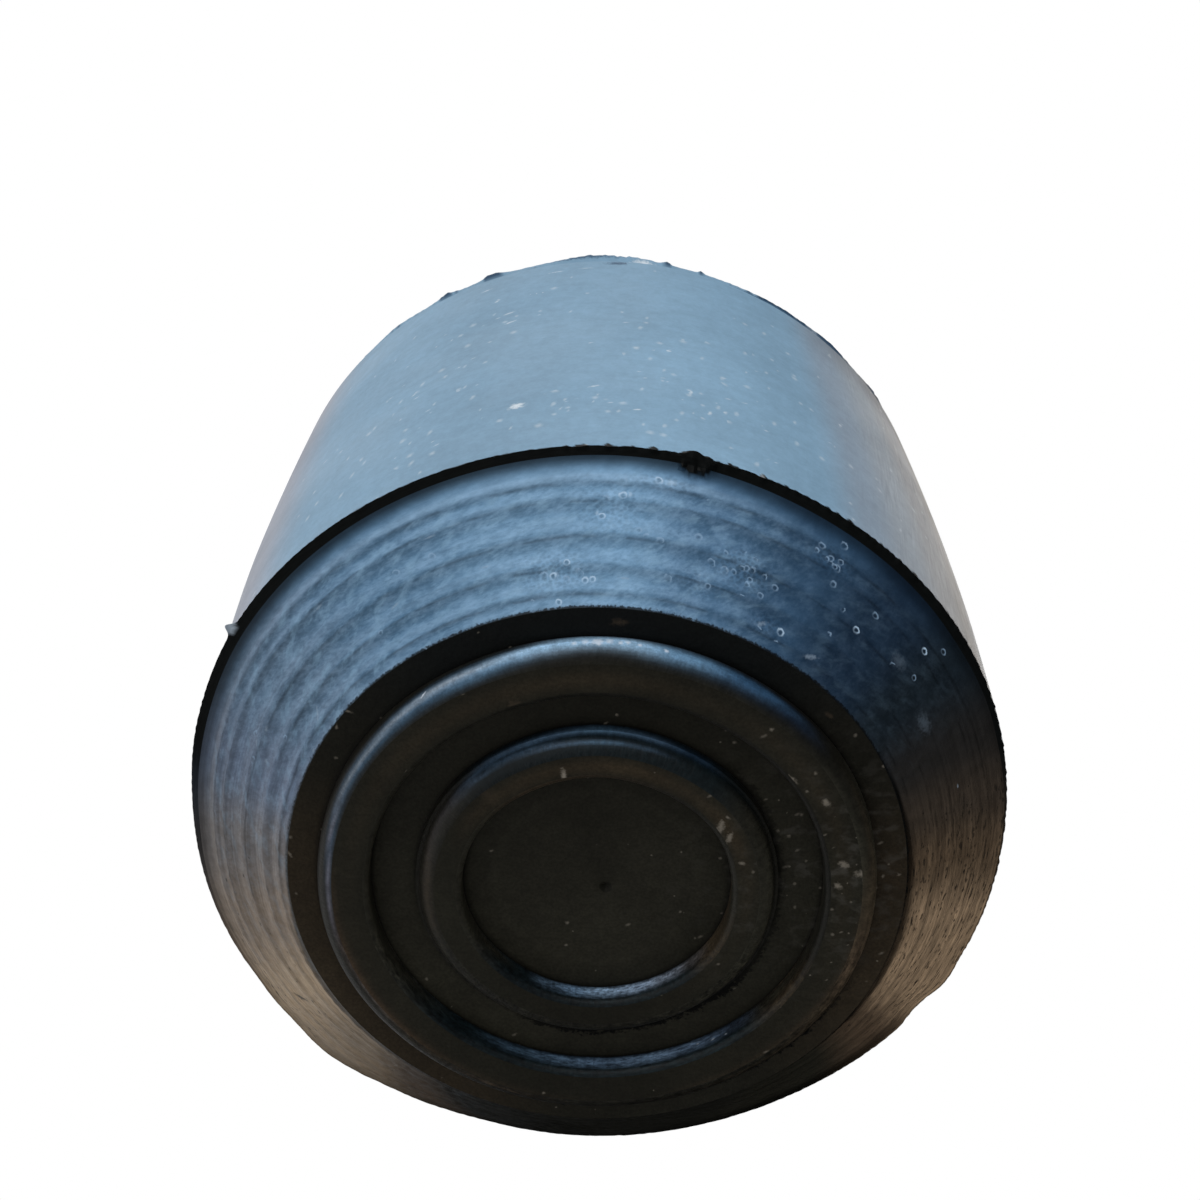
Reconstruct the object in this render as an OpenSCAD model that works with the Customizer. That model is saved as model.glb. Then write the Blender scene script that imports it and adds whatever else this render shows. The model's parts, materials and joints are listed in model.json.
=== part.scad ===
// Rubber cane tip: one moulded piece that pushes onto the end of a walking cane.
// It stands on its ringed sole at z = 0, and the socket for the cane opens upwards, along +Z.
// The whole piece is one outline turned about the Z axis.

/* [Overall] */
// Height from the crowns of the sole's rings to the mouth
height = 30.5; // [20:0.5:45]

/* [Cane socket] */
// Diameter of the socket, which is the diameter of the cane that it grips
bore_d = 22; // [16:0.5:30]
// Thickness of rubber under the floor of the socket, rings included
sole_t = 7.5; // [4:0.5:12]
// Width and height of the chamfer that leads the cane in
lead_in = 0.8; // [0.2:0.1:2]
// Radius in the corner between the socket's wall and its floor
floor_round = 0.8; // [0.2:0.1:2]

/* [Collar] */
// Thickness of the wall at the mouth
wall = 5.6; // [3.5:0.1:8]
// How much further out the collar stands at its lip than at its mouth
flare = 1.3; // [0.3:0.1:3]
// How far the side of the collar bows out between lip and mouth
bow = 0.2; // [0:0.05:0.6]
// Height of the narrow band that the mould leaves round the mouth
rim_h = 0.9; // [0.5:0.1:2]
// How far that band is set in from the side of the collar
rim_step = 0.1; // [0.05:0.05:0.4]
// Radius on the outer edge of the mouth
rim_round = 0.35; // [0.1:0.05:0.45]

/* [Lip and bevel] */
// Height of the lip, where the two halves of the mould meet
lip_z = 5.75; // [3:0.05:10]
// Width of the ledge under the lip
ledge_w = 0.5; // [0.2:0.1:1.5]
// How much the ledge rises towards the lip
ledge_rise = 0.2; // [0.05:0.05:0.6]
// Width of the bevel in plan, from the sole's edge to the ledge
bevel_run = 4.4; // [2:0.1:7]
// Width of the narrow flat at each turned step of the bevel
tread_w = 0.16; // [0.05:0.01:0.3]

/* [Sole] */
// Height of the two rings above the land around them
ring_h = 1.1; // [0.8:0.1:2]
// Width of the flat land outside the outer ring
land_w = 1.3; // [0.5:0.1:3]
// Width of the outer ring
outer_ring_w = 2.2; // [1.4:0.1:4]
// Width of the groove between the rings
groove_w = 1.9; // [0.8:0.1:4]
// Width of the inner ring
inner_ring_w = 1.95; // [1.4:0.05:4]
// Radius on the outer shoulder of a ring
shoulder_round = 0.65; // [0.3:0.05:0.75]
// Radius on the inner edge of a ring
inner_round = 0.25; // [0.1:0.05:0.4]
// Width of the step on the inner ring's shoulder
shoulder_step = 0.15; // [0.05:0.05:0.3]
// Radius of the small dimple that the mould's gate leaves at the centre
gate_r = 0.45; // [0.2:0.05:1]
// Depth of that dimple
gate_depth = 0.2; // [0.05:0.05:0.5]

/* [Hidden] */
$fn = 96;

rubber = [0.16, 0.18, 0.20];

// Radii, from the cane outwards and then from the lip inwards
bore_r = bore_d / 2;
mouth_r = bore_r + wall;
lip_r = mouth_r + flare;
bevel_top_r = lip_r - ledge_w;
sole_r = bevel_top_r - bevel_run;
outer_ring_r = sole_r - land_w;
inner_ring_r = outer_ring_r - outer_ring_w - groove_w;

// Heights above the ground
land_z = ring_h;
floor_z = sole_t;
bevel_rise = lip_z - ledge_rise - land_z;

// Where the turned steps fall, as shares of the way up the bevel
bevel_steps = [0.09, 0.26, 0.46, 0.70, 0.82];

// Points on a rounded edge, and on the bowed side
ROUND_PARTS = 8;
BOW_PARTS = 16;

// Points on an arc of radius r about c, from angle a0 to angle a1
function arc(c, r, a0, a1) = [
    for (i = [0 : ROUND_PARTS])
        let (a = a0 + (a1 - a0) * i / ROUND_PARTS)
        c + r * [cos(a), sin(a)]
];

// The dimple at the centre of the sole
function gate() = [
    [0, land_z + gate_depth],
    [gate_r, land_z]
];

// A ring of the sole, from its inner foot to its outer foot. Its crown stands on the ground.
// A step sets the rounded shoulder in from the outer wall.
function ring(outer_r, w, step) = concat(
    [[outer_r - w, land_z]],
    arc([outer_r - w + inner_round, inner_round], inner_round, 180, 270),
    arc([outer_r - step - shoulder_round, shoulder_round], shoulder_round, 270, 360),
    step > 0 ? [[outer_r, shoulder_round]] : [],
    [[outer_r, land_z]]
);

// A place on the straight line of the bevel, at share s of the way from sole to ledge
function on_bevel(s) = [sole_r + bevel_run * s, land_z + bevel_rise * s];

// The bevel: each face ends short of the line, and a narrow flat brings it back out
function bevel() = concat(
    [on_bevel(0)],
    [for (s = bevel_steps) each [on_bevel(s) - [tread_w, 0], on_bevel(s)]],
    [on_bevel(1)]
);

// The side of the collar, from the sharp edge of the lip to the foot of the rim band
function collar_side() = [
    for (i = [0 : BOW_PARTS])
        let (t = i / BOW_PARTS, z = lip_z + (height - rim_h - lip_z) * t)
        [lip_r - flare * t + 4 * bow * t * (1 - t), z]
];

// The rim band and the mouth, as far as the foot of the lead-in chamfer
function mouth() = concat(
    [[mouth_r - rim_step, height - rim_h]],
    arc([mouth_r - rim_step - rim_round, height - rim_round], rim_round, 0, 90),
    [
        [bore_r + lead_in, height],
        [bore_r, height - lead_in]
    ]
);

// The floor of the socket, from its rounded corner to the axis
function socket_floor() = concat(
    arc([bore_r - floor_round, floor_z + floor_round], floor_round, 360, 270),
    [[0, floor_z]]
);

// Half of the section through the tip, once round from the centre of the sole
outline = concat(
    gate(),
    ring(inner_ring_r, inner_ring_w, shoulder_step),
    ring(outer_ring_r, outer_ring_w, 0),
    bevel(),
    collar_side(),
    mouth(),
    socket_floor()
);

module rubber_tip() {
    color(rubber)
        rotate_extrude()
            polygon(outline);
}

rubber_tip();
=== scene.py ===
# %% [markdown]
# # A rubber cane tip, turned from one outline
#
# The tip is one moulded piece of black rubber that pushes onto the end of a walking cane.
# Its sole carries two rings, a stepped bevel leads out to a sharp lip, and above the lip a
# smooth collar holds the socket. It is round everywhere, so one outline carried round the
# axis makes the whole piece, and everything that a mould, a trimming knife and a year on the
# pavement did to it is added to that surface afterwards as small moves and as colour. Much
# of the colour is painted light as well: painted highlights, painted reflections and painted shade.

# %% Load the frame
import json
import math

import bpy
import numpy as np
from mathutils import Matrix, Vector


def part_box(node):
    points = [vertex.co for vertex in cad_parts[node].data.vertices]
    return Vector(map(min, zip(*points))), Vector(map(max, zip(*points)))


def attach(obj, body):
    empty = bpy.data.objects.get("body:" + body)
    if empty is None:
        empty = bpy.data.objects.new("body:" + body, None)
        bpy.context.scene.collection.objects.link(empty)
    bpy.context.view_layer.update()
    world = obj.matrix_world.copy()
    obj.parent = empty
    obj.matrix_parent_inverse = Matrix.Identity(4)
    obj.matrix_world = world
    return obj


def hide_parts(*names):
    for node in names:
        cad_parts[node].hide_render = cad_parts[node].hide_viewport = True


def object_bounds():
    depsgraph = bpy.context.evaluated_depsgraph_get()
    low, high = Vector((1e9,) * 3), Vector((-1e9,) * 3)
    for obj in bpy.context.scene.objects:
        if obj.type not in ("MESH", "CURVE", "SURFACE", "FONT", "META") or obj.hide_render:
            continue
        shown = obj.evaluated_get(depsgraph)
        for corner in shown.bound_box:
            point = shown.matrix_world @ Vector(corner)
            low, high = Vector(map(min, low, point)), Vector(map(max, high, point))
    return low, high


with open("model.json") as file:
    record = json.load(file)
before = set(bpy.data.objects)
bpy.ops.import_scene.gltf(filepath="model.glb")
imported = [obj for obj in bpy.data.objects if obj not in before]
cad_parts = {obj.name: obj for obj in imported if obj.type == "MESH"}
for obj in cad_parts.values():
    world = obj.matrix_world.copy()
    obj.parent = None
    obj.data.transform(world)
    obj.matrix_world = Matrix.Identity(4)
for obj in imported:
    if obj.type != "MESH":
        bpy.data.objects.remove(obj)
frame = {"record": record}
cad_low, cad_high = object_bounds()
print("CAD box, mm:", [round(1000 * v, 2) for v in (*cad_low, *cad_high)])

# %% [markdown]
# ## The sizes
#
# The height and the socket come from the imported frame; the lip is given here. The smaller
# sizes are the ones that the outline needs in between, in millimetres, from the sole outwards and up.
# The surface keeps a hair's breadth inside the CAD box, so that flash and wear have room.

# %% Sizes of the tip, in millimetres
MM = 0.001
tip_low, tip_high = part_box("rubber_tip")
mounts = {mount["name"]: mount for mount in frame["record"]["mounts"]}

HEIGHT = (tip_high.z - tip_low.z) / MM
BORE_R = mounts["bore"]["dims"]["r_mm"]
SOCKET_DEEP = mounts["bore"]["dims"]["length_mm"]

LIP_R = 17.86
LIP_Z = 5.75
LEDGE = 0.46
LEDGE_RISE = 0.2
BEVEL_RUN = 4.4
LAND = 1.3
OUTER_RING = 2.2
GROOVE = 1.9
INNER_RING = 1.95
RING_H = 1.1
SHOULDER = 0.65
STEP = 0.15
INNER_ROUND = 0.25
MOUTH_R = 16.6
BOW = 0.2
RIM_H = 0.9
RIM_STEP = 0.1
RIM_ROUND = 0.35
LEAD_IN = 0.8
FLOOR_ROUND = 0.8
GATE_R = 0.45
GATE_DEEP = 0.2

TOP_Z = HEIGHT - 0.04
BEVEL_TOP_R = LIP_R - LEDGE
BEVEL_TOP_Z = LIP_Z - LEDGE_RISE
BEVEL_LONG = math.hypot(BEVEL_RUN, BEVEL_TOP_Z - RING_H)
SOLE_R = BEVEL_TOP_R - BEVEL_RUN
RING_A = SOLE_R - LAND
RING_B = RING_A - OUTER_RING - GROOVE
FLOOR_Z = HEIGHT - LEAD_IN - SOCKET_DEEP - FLOOR_ROUND
print("socket floor at", round(FLOOR_Z, 2), "mm; sole radius", round(SOLE_R, 2), "mm")

# %% [markdown]
# ## The outline
#
# Half of the section is one path from the middle of the sole, out over the rings, up the
# bevel and the collar, over the mouth and down to the middle of the socket's floor. It is cut
# into zones, so that each zone gets as many rows and as many columns round the axis as its
# detail needs: many at the lip and on the bevel, few in the socket, where nothing is seen.

# %% Paths for the outline
def arc(centre_r, centre_z, radius, start, end, parts=8):
    """Points on a circle about (centre_r, centre_z), from one angle to another in degrees."""
    a = np.radians(np.linspace(start, end, parts + 1))
    return np.stack([centre_r + radius * np.cos(a), centre_z + radius * np.sin(a)], 1)


def collar_path(parts=24):
    """A straight taper from the lip to the rim, plus a bow: 4 b t (1 - t), widest half way up."""
    t = np.linspace(0, 1, parts + 1)
    r = LIP_R + (MOUTH_R - LIP_R) * t + 4 * BOW * t * (1 - t)
    return np.stack([r, LIP_Z + (HEIGHT - RIM_H - LIP_Z) * t], 1)


zones = []


def zone(name, path, rows, columns, finish, crowd=0.0):
    """Adds a zone: its path, rows and columns, its finish, and how far rows crowd to its ends."""
    zones.append((name, np.array(path, float), rows, columns, finish, crowd))


# %% Zones of the sole
foot_b = RING_B - INNER_RING
foot_a = RING_A - OUTER_RING
crown_b = RING_B - STEP - SHOULDER
crown_a = RING_A - SHOULDER
edge_b = arc(foot_b + INNER_ROUND, INNER_ROUND, INNER_ROUND, 180, 270)
edge_a = arc(foot_a + INNER_ROUND, INNER_ROUND, INNER_ROUND, 180, 270)
shoulder_b = arc(crown_b, SHOULDER, SHOULDER, 270, 360)
shoulder_a = arc(crown_a, SHOULDER, SHOULDER, 270, 360)

zone("gate", [(0, RING_H + GATE_DEEP), (GATE_R, RING_H)], 3, 45, "sole")
zone("disc core", [(GATE_R, RING_H), (1.3, RING_H)], 3, 90, "sole")
zone("disc middle", [(1.3, RING_H), (2.8, RING_H)], 3, 180, "sole")
zone("disc", [(2.8, RING_H), (foot_b, RING_H)], 7, 360, "sole", 0.5)
zone("inner ring inside", [(foot_b, RING_H), (foot_b, INNER_ROUND)], 4, 360, "wall")
zone("inner ring edge", edge_b, 4, 360, "wall")
zone("inner crown", [(foot_b + INNER_ROUND, 0), (crown_b, 0)], 4, 360, "sole")
zone("inner ring shoulder", shoulder_b, 7, 360, "wall")
zone("inner ring step", [(RING_B - STEP, SHOULDER), (RING_B, SHOULDER)], 1, 360, "wall")
zone("inner ring wall", [(RING_B, SHOULDER), (RING_B, RING_H)], 2, 360, "wall")
zone("groove", [(RING_B, RING_H), (foot_a, RING_H)], 7, 360, "sole", 0.5)
zone("outer ring inside", [(foot_a, RING_H), (foot_a, INNER_ROUND)], 4, 360, "wall")
zone("outer ring edge", edge_a, 4, 360, "wall")
zone("outer crown", [(foot_a + INNER_ROUND, 0), (crown_a, 0)], 5, 360, "sole")
zone("outer ring shoulder", shoulder_a, 7, 720, "wall")
zone("outer ring wall", [(RING_A, SHOULDER), (RING_A, RING_H)], 2, 720, "wall")
zone("land", [(RING_A, RING_H), (SOLE_R, RING_H)], 4, 720, "sole", 0.5)

# %% Zones of the bevel, the collar and the socket
collar_start = (LIP_R - 0.012, LIP_Z + 0.3)
collar = collar_path()
collar = collar[collar[:, 1] > LIP_Z + 0.4]
rim_in = MOUTH_R - RIM_STEP
rim_path = [(MOUTH_R, HEIGHT - RIM_H), (rim_in, HEIGHT - RIM_H + 0.04), (rim_in, TOP_Z - RIM_ROUND)]
rim_edge = arc(rim_in - RIM_ROUND, TOP_Z - RIM_ROUND, RIM_ROUND, 0, 90)
mouth_in = BORE_R + LEAD_IN
floor_out = BORE_R - FLOOR_ROUND
floor_corner = arc(floor_out, FLOOR_Z + FLOOR_ROUND, FLOOR_ROUND, 360, 270)

zone("bevel", [(SOLE_R, RING_H), (BEVEL_TOP_R, BEVEL_TOP_Z)], 46, 720, "bevel")
zone("ledge", [(BEVEL_TOP_R, BEVEL_TOP_Z), (LIP_R, LIP_Z)], 4, 1440, "ledge")
zone("collar foot", [(LIP_R, LIP_Z), collar_start], 4, 1440, "collar")
zone("collar", [collar_start] + collar.tolist(), 24, 360, "collar")
zone("rim band", rim_path, 5, 720, "collar")
zone("rim edge", rim_edge, 5, 720, "collar")
zone("mouth face", [(rim_in - RIM_ROUND, TOP_Z), (mouth_in, TOP_Z)], 4, 360, "collar")
zone("lead-in", [(mouth_in, TOP_Z), (BORE_R, HEIGHT - LEAD_IN)], 2, 360, "socket")
zone("socket wall", [(BORE_R, HEIGHT - LEAD_IN), (BORE_R, FLOOR_Z + FLOOR_ROUND)], 14, 180, "socket")
zone("socket corner", floor_corner, 5, 180, "socket")
zone("socket floor", [(floor_out, FLOOR_Z), (5.0, FLOOR_Z)], 3, 180, "socket")
zone("socket floor middle", [(5.0, FLOOR_Z), (2.0, FLOOR_Z)], 2, 90, "socket")
zone("socket floor centre", [(2.0, FLOOR_Z), (0, FLOOR_Z)], 2, 45, "socket")
print(len(zones), "zones from the middle of the sole to the middle of the socket")

# %% [markdown]
# ## From the outline to a grid
#
# Each row of the grid is a circle. A zone's rows lie along its path, and the share of the way
# along it, t, is kept with each row, because the paint later needs to know where it is. The
# distance s along the whole outline is kept too: it runs on without a jump from zone to zone.
# Neighbouring rows may differ in their columns only by half or double, so the first row of the
# collar has 720 columns, half way from the 1440 at the lip to the 360 above.

# %% Rows of the grid
ZONE_NAMES = [z[0] for z in zones]
row_r, row_z, row_s, row_t, row_zone, row_columns = [], [], [], [], [], []
travelled = 0.0
for index, (name, path, rows, columns, finish, crowd) in enumerate(zones):
    steps = np.hypot(*np.diff(path, axis=0).T)
    along = np.concatenate([[0.0], np.cumsum(steps)])
    t = np.arange(rows) / rows
    t = (1 - crowd) * t + crowd * (0.5 - 0.5 * np.cos(np.pi * t))
    row_r.append(np.interp(t * along[-1], along, path[:, 0]))
    row_z.append(np.interp(t * along[-1], along, path[:, 1]))
    row_s.append(travelled + t * along[-1])
    row_t.append(t)
    row_zone.append(np.full(rows, index))
    row_columns.append(np.full(rows, columns))
    travelled += along[-1]

row_r = np.concatenate(row_r + [[0.0]])
row_z = np.concatenate(row_z + [[FLOOR_Z]])
row_s = np.concatenate(row_s + [[travelled]])
row_t = np.concatenate(row_t + [[1.0]])
row_zone = np.concatenate(row_zone + [[len(zones) - 1]])
row_columns = np.concatenate(row_columns + [[1]])
row_columns[0] = 1
row_columns[np.flatnonzero(row_zone == ZONE_NAMES.index("collar"))[0]] = 720
print(len(row_r), "rows,", round(travelled, 1), "mm of outline")


def starts_at(name):
    """The distance along the outline at which a zone starts."""
    return row_s[row_zone == ZONE_NAMES.index(name)][0]

# %% Points of the grid
row_of = np.repeat(np.arange(len(row_r)), row_columns)
first = np.concatenate([[0], np.cumsum(row_columns)])[:-1]
place = np.arange(len(row_of)) - first[row_of]
phi = place / row_columns[row_of] * 2 * np.pi
phi = (phi + np.pi) % (2 * np.pi) - np.pi
r = row_r[row_of]
z = row_z[row_of]
s = row_s[row_of]
t = row_t[row_of]
zone_of = row_zone[row_of]
print(len(r), "points")


def here(name):
    """Which points of the grid are in a zone."""
    return zone_of == ZONE_NAMES.index(name)


# %% [markdown]
# ## Small irregularities
#
# Rubber is never quite round. A sum of plain waves, each a whole number of them round the
# axis, gives a roughness that joins up with itself behind the tip. Narrow lumps and dents
# have a place, a width and a height of their own.

# %% Helpers for irregular surfaces
def waves(phi, s, around, along, count, seed):
    """A sum of cosine waves with whole numbers round the axis up to around, and up to along
    waves a millimetre of outline, scaled so that its usual size is 1."""
    chance = np.random.default_rng(seed)
    m = chance.integers(around[0], around[1] + 1, count)
    q = chance.uniform(-along, along, count) * 2 * np.pi
    start = chance.uniform(0, 2 * np.pi, count)
    total = np.zeros_like(phi)
    for k in range(count):
        total += np.cos(m[k] * phi + q[k] * s + start[k])
    return total / math.sqrt(count / 2)


def turn_from(phi, degrees):
    """The angle from a place round the axis, in degrees, the short way."""
    return (np.degrees(phi) - degrees + 180) % 360 - 180


def lump(distance, width):
    """A smooth lump: 1 at distance 0, falling to nothing over about twice the width."""
    return np.exp(-0.5 * (distance / width) ** 2)


def smooth(x, low, high):
    """0 at low, 1 at high, and a smooth slope between them. High may be the smaller of the two."""
    u = np.clip((x - low) / (high - low), 0, 1)
    return u * u * (3 - 2 * u)


def round_values(phi, stops):
    """A value for every angle, from {degrees: value} stops, running smoothly through them.
    Degrees are 0 at the front and grow to the right."""
    at = np.array(sorted(stops), float)
    value = np.array([stops[a] for a in sorted(stops)], float)
    at = np.concatenate([[at[-1] - 360], at, [at[0] + 360]])
    value = np.concatenate([value[-1:], value, value[:1]])
    degrees = (np.degrees(phi) - at[0]) % 360 + at[0]
    k = np.clip(np.searchsorted(at, degrees, side="right") - 1, 0, len(at) - 2)
    u = (degrees - at[k]) / (at[k + 1] - at[k])
    u = u * u * (3 - 2 * u)
    if value.ndim > 1:
        u = u[:, None]
    return value[k] * (1 - u) + value[k + 1] * u


# %% [markdown]
# ## Shape of the bevel
#
# The bevel was turned with a round-nosed tool that left shallow hollows, one above the other,
# with finer turning lines in them. Each hollow is a parabola across its own width, less than a
# tenth of a millimetre deep, and the ridges between the hollows catch or lose the light.

# %% Turned hollows
BEVEL_CUTS = [0.0, 0.09, 0.26, 0.46, 0.70, 0.815, 1.0]
HOLLOW = 0.085


def across_cuts(t, s, phi):
    """The share u of the way across a hollow, and the hollow's width. The cuts wander a little."""
    cuts = np.array(BEVEL_CUTS)
    wander = 0.006 * waves(phi, s, (1, 9), 0.02, 8, 11)
    t = np.clip(t + wander * smooth(t, 0.02, 0.15) * smooth(1 - t, 0.02, 0.15), 0, 0.9999)
    k = np.searchsorted(cuts, t, side="right") - 1
    width = cuts[k + 1] - cuts[k]
    return (t - cuts[k]) / width, width


def hollows(t, s, phi):
    """Depth of the turned hollows, in mm: 4 d u (1 - u) across each, and less in a narrow one."""
    u, width = across_cuts(t, s, phi)
    return 4 * HOLLOW * np.minimum(1, width / 0.2) * u * (1 - u)


def band_light(t, s, phi):
    """Painted light across each hollow, a painted highlight where it is high: it rises from -1 at
    the cut to 1 a quarter of the way across, and falls back to -1 at the next cut."""
    u, _ = across_cuts(t, s, phi)
    return np.where(u < 0.25, -np.cos(np.pi * u / 0.25), np.cos(np.pi * (u - 0.25) / 0.75))


# %% Where the surface stands, row by row and column by column
OUT_OF_ROUND = 0.02
TURNING_LINES = 0.006
LEATHER = 0.009
HOLLOWS_LEFT = {-150: 0.8, -60: 1.0, 10: 1.0, 40: 0.35, 75: 0.5, 110: 1.0, 180: 0.6}

out = OUT_OF_ROUND * waves(phi, s, (2, 7), 0.01, 10, 3)
lift = np.zeros_like(out)
bevel, ledge, collar_foot = here("bevel"), here("ledge"), here("collar foot")

worn = round_values(phi, HOLLOWS_LEFT)
lines = TURNING_LINES * waves(phi, s, (0, 6), 3.2, 40, 21) * worn
leather = LEATHER * waves(phi, s, (20, 200), 2.0, 80, 22)
edge = smooth(t, 0.0, 0.06) * smooth(1 - t, 0.0, 0.06)
dig = ((lines + leather) * edge - hollows(t, s, phi) * worn) * bevel
normal = np.array([BEVEL_TOP_Z - RING_H, -BEVEL_RUN]) / BEVEL_LONG

# %% [markdown]
# ## The lip
#
# The lip was trimmed by hand. Its outline isn't a true circle, the ledge under it is wide at
# the front and almost nothing at the back and is painted black there as painted shade, and a
# ragged thread of flash hangs from it. One clot of flash stayed on at the front, and a small
# tag sticks out on the left.

# %% Outline of the lip and width of the ledge
LIP_OUT = {-180: 0.02, -165: 0.02, -150: 0.2, -138: 0.42, -128: 0.15, -119: 0.0, -90: -0.12, -75: -0.02,
           -60: 0.04, 0: 0.0, 60: -0.08, 90: -0.08, 112: 0.02, 118: 0.14, 124: -0.14, 130: 0.04,
           150: 0.02}
LIP_DROP = {-150: -0.1, -90: 0.0, 0: 0.0, 90: 0.0, 140: -0.05, 180: -0.28}
LEDGE_SPARE = {-130: 0.38, -105: 0.3, -90: 0.18, -75: 0.05, -55: 0.02, -30: 0.06, 0: 0.1, 30: 0.02,
               55: 0.06, 72: 0.2, 90: 0.36, 180: 0.4}
TUCK = 0.17
TUCK_AT = -73

side_wall = collar_foot | here("collar")
near_lip = smooth(r, 15.0, LIP_R - LEDGE) * smooth(15.0 - z, 0.0, 9.0) * (bevel | ledge | side_wall)
spare = round_values(phi, LEDGE_SPARE) * (bevel * t + ledge * (1 - t))
tucked = smooth(z, LIP_Z + 0.05, LIP_Z + 0.3) * (1 - smooth(z, 8.0, 18.0)) * side_wall
out += round_values(phi, LIP_OUT) * near_lip + spare
out -= TUCK * lump(turn_from(phi, TUCK_AT), 9) * tucked
lift += round_values(phi, LIP_DROP) * near_lip + spare * LEDGE_RISE / LEDGE

# %% Ragged flash
ROUGH_AT = {-180: 0.15, -110: 0.15, -60: 0.5, -9: 0.7, -4: 1.5, 5: 1.8, 16: 1.6, 30: 1.2, 70: 1.3,
            90: 0.8, 110: 0.3}
ragged = waves(phi, s * 0, (90, 330), 0.0, 60, 31)
chips = waves(phi, s * 0, (20, 110), 0.0, 40, 32)
rough_at = round_values(phi, ROUGH_AT)
hang = (0.022 * ragged + 0.036 * np.maximum(chips, -0.6)) * rough_at
at_edge = ledge * smooth(t, 0.4, 1.0) + collar_foot * (1 - smooth(t, 0.0, 0.5))
lift -= hang * at_edge
out += 0.012 * (ragged - 1) * rough_at * at_edge

# %% The clot and the tag
CLOT_AT = 11.8
CLOT_LONG = 0.95
CLOT_TALL = 0.60
TAG_AT = -59.8
TAG_OUT = 0.36
above_lip = s - starts_at("collar foot")
crumbs = waves(phi, s, (40, 260), 1.5, 90, 33)
clot_far = np.hypot(np.radians(turn_from(phi, CLOT_AT)) * LIP_R / CLOT_LONG, (above_lip + 0.30) / CLOT_TALL)
clot = smooth(1.05 - clot_far + 0.10 * crumbs, 0.0, 0.35) * (1 - smooth(above_lip, 0.06, 0.20))
clot *= bevel | ledge | collar_foot
out += clot * (0.18 + 0.05 * crumbs) * np.where(collar_foot, 0.9, 0.7)
lift -= clot * (0.22 + 0.07 * crumbs) * np.where(collar_foot, 0.2, 1.0)
tag = lump(turn_from(phi, TAG_AT), 0.55) * (ledge * smooth(t, 0.5, 1) + collar_foot * (1 - t))
out += TAG_OUT * tag
lift -= 0.05 * tag

# %% Flash along the outer edge of the mouth, chipped away in places
# each lump has its degrees, half its width in degrees, its height, and how black it is
MOUTH_LUMPS = [(-29.3, 2.2, 0.15, 1.0), (-20.5, 2.6, 0.19, 1.0), (-2.5, 7.5, 0.21, 0.0),
               (5.0, 3.5, 0.10, 0.0), (9.5, 0.9, 0.18, 1.0), (15.6, 0.6, 0.12, 1.0),
               (31.0, 9.0, 0.07, 1.0), (42.0, 5.0, 0.10, 1.0), (54.0, 4.0, 0.10, 0.5),
               (-40.0, 4.0, 0.07, 0.5)]
FRAY = 0.004
mouth_edge = here("rim edge") * smooth(1 - t, 0.0, 0.4) + here("rim band") * smooth(t, 0.3, 1.0)
frayed = waves(phi, s, (60, 300), 0.3, 60, 41)
flash = np.zeros_like(out)
black_flash = np.zeros_like(out)
for degrees, half_degrees, height, black_share in MOUTH_LUMPS:
    hump = lump(turn_from(phi, degrees), half_degrees / 1.7) * (1 + 0.05 * frayed)
    flash += height * hump
    black_flash = np.maximum(black_flash, black_share * hump)
out += mouth_edge * (FRAY * frayed + flash)
lift += here("rim edge") * FRAY * frayed

# %% Points in space
# the dimple isn't quite in the middle
DIMPLE_X = 0.36
DIMPLE_Y = 0.40
INSIDE = 0.004
x = (r + out + dig * normal[0]) * np.sin(phi)
y = -(r + out + dig * normal[0]) * np.cos(phi)
z = z + lift + dig * normal[1]
off_centre = 1 - smooth(r, 0.5, 2.6)
off_centre[z > 2.0] = 0
closed_up = 1 - 0.4 * off_centre * (1 - smooth(r, GATE_R, 3 * GATE_R))
x = x * closed_up + DIMPLE_X * off_centre
y = y * closed_up + DIMPLE_Y * off_centre

x = np.clip(x, tip_low.x / MM + INSIDE, tip_high.x / MM - INSIDE)
y = np.clip(y, tip_low.y / MM + INSIDE, tip_high.y / MM - INSIDE)
z = np.clip(z, 0.005, HEIGHT - 0.005)
points = np.stack([x, y, z], 1) * MM
print("visual surface, mm:", points.min(0) / MM, points.max(0) / MM)

# %% [markdown]
# ## Faces
#
# Between two rows with the same number of columns the faces are quads. Where one row has
# twice as many columns as the other, each step of the coarse row meets two steps of the fine
# one in three triangles, so the mesh stays closed. At the two poles the faces are a fan.

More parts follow.
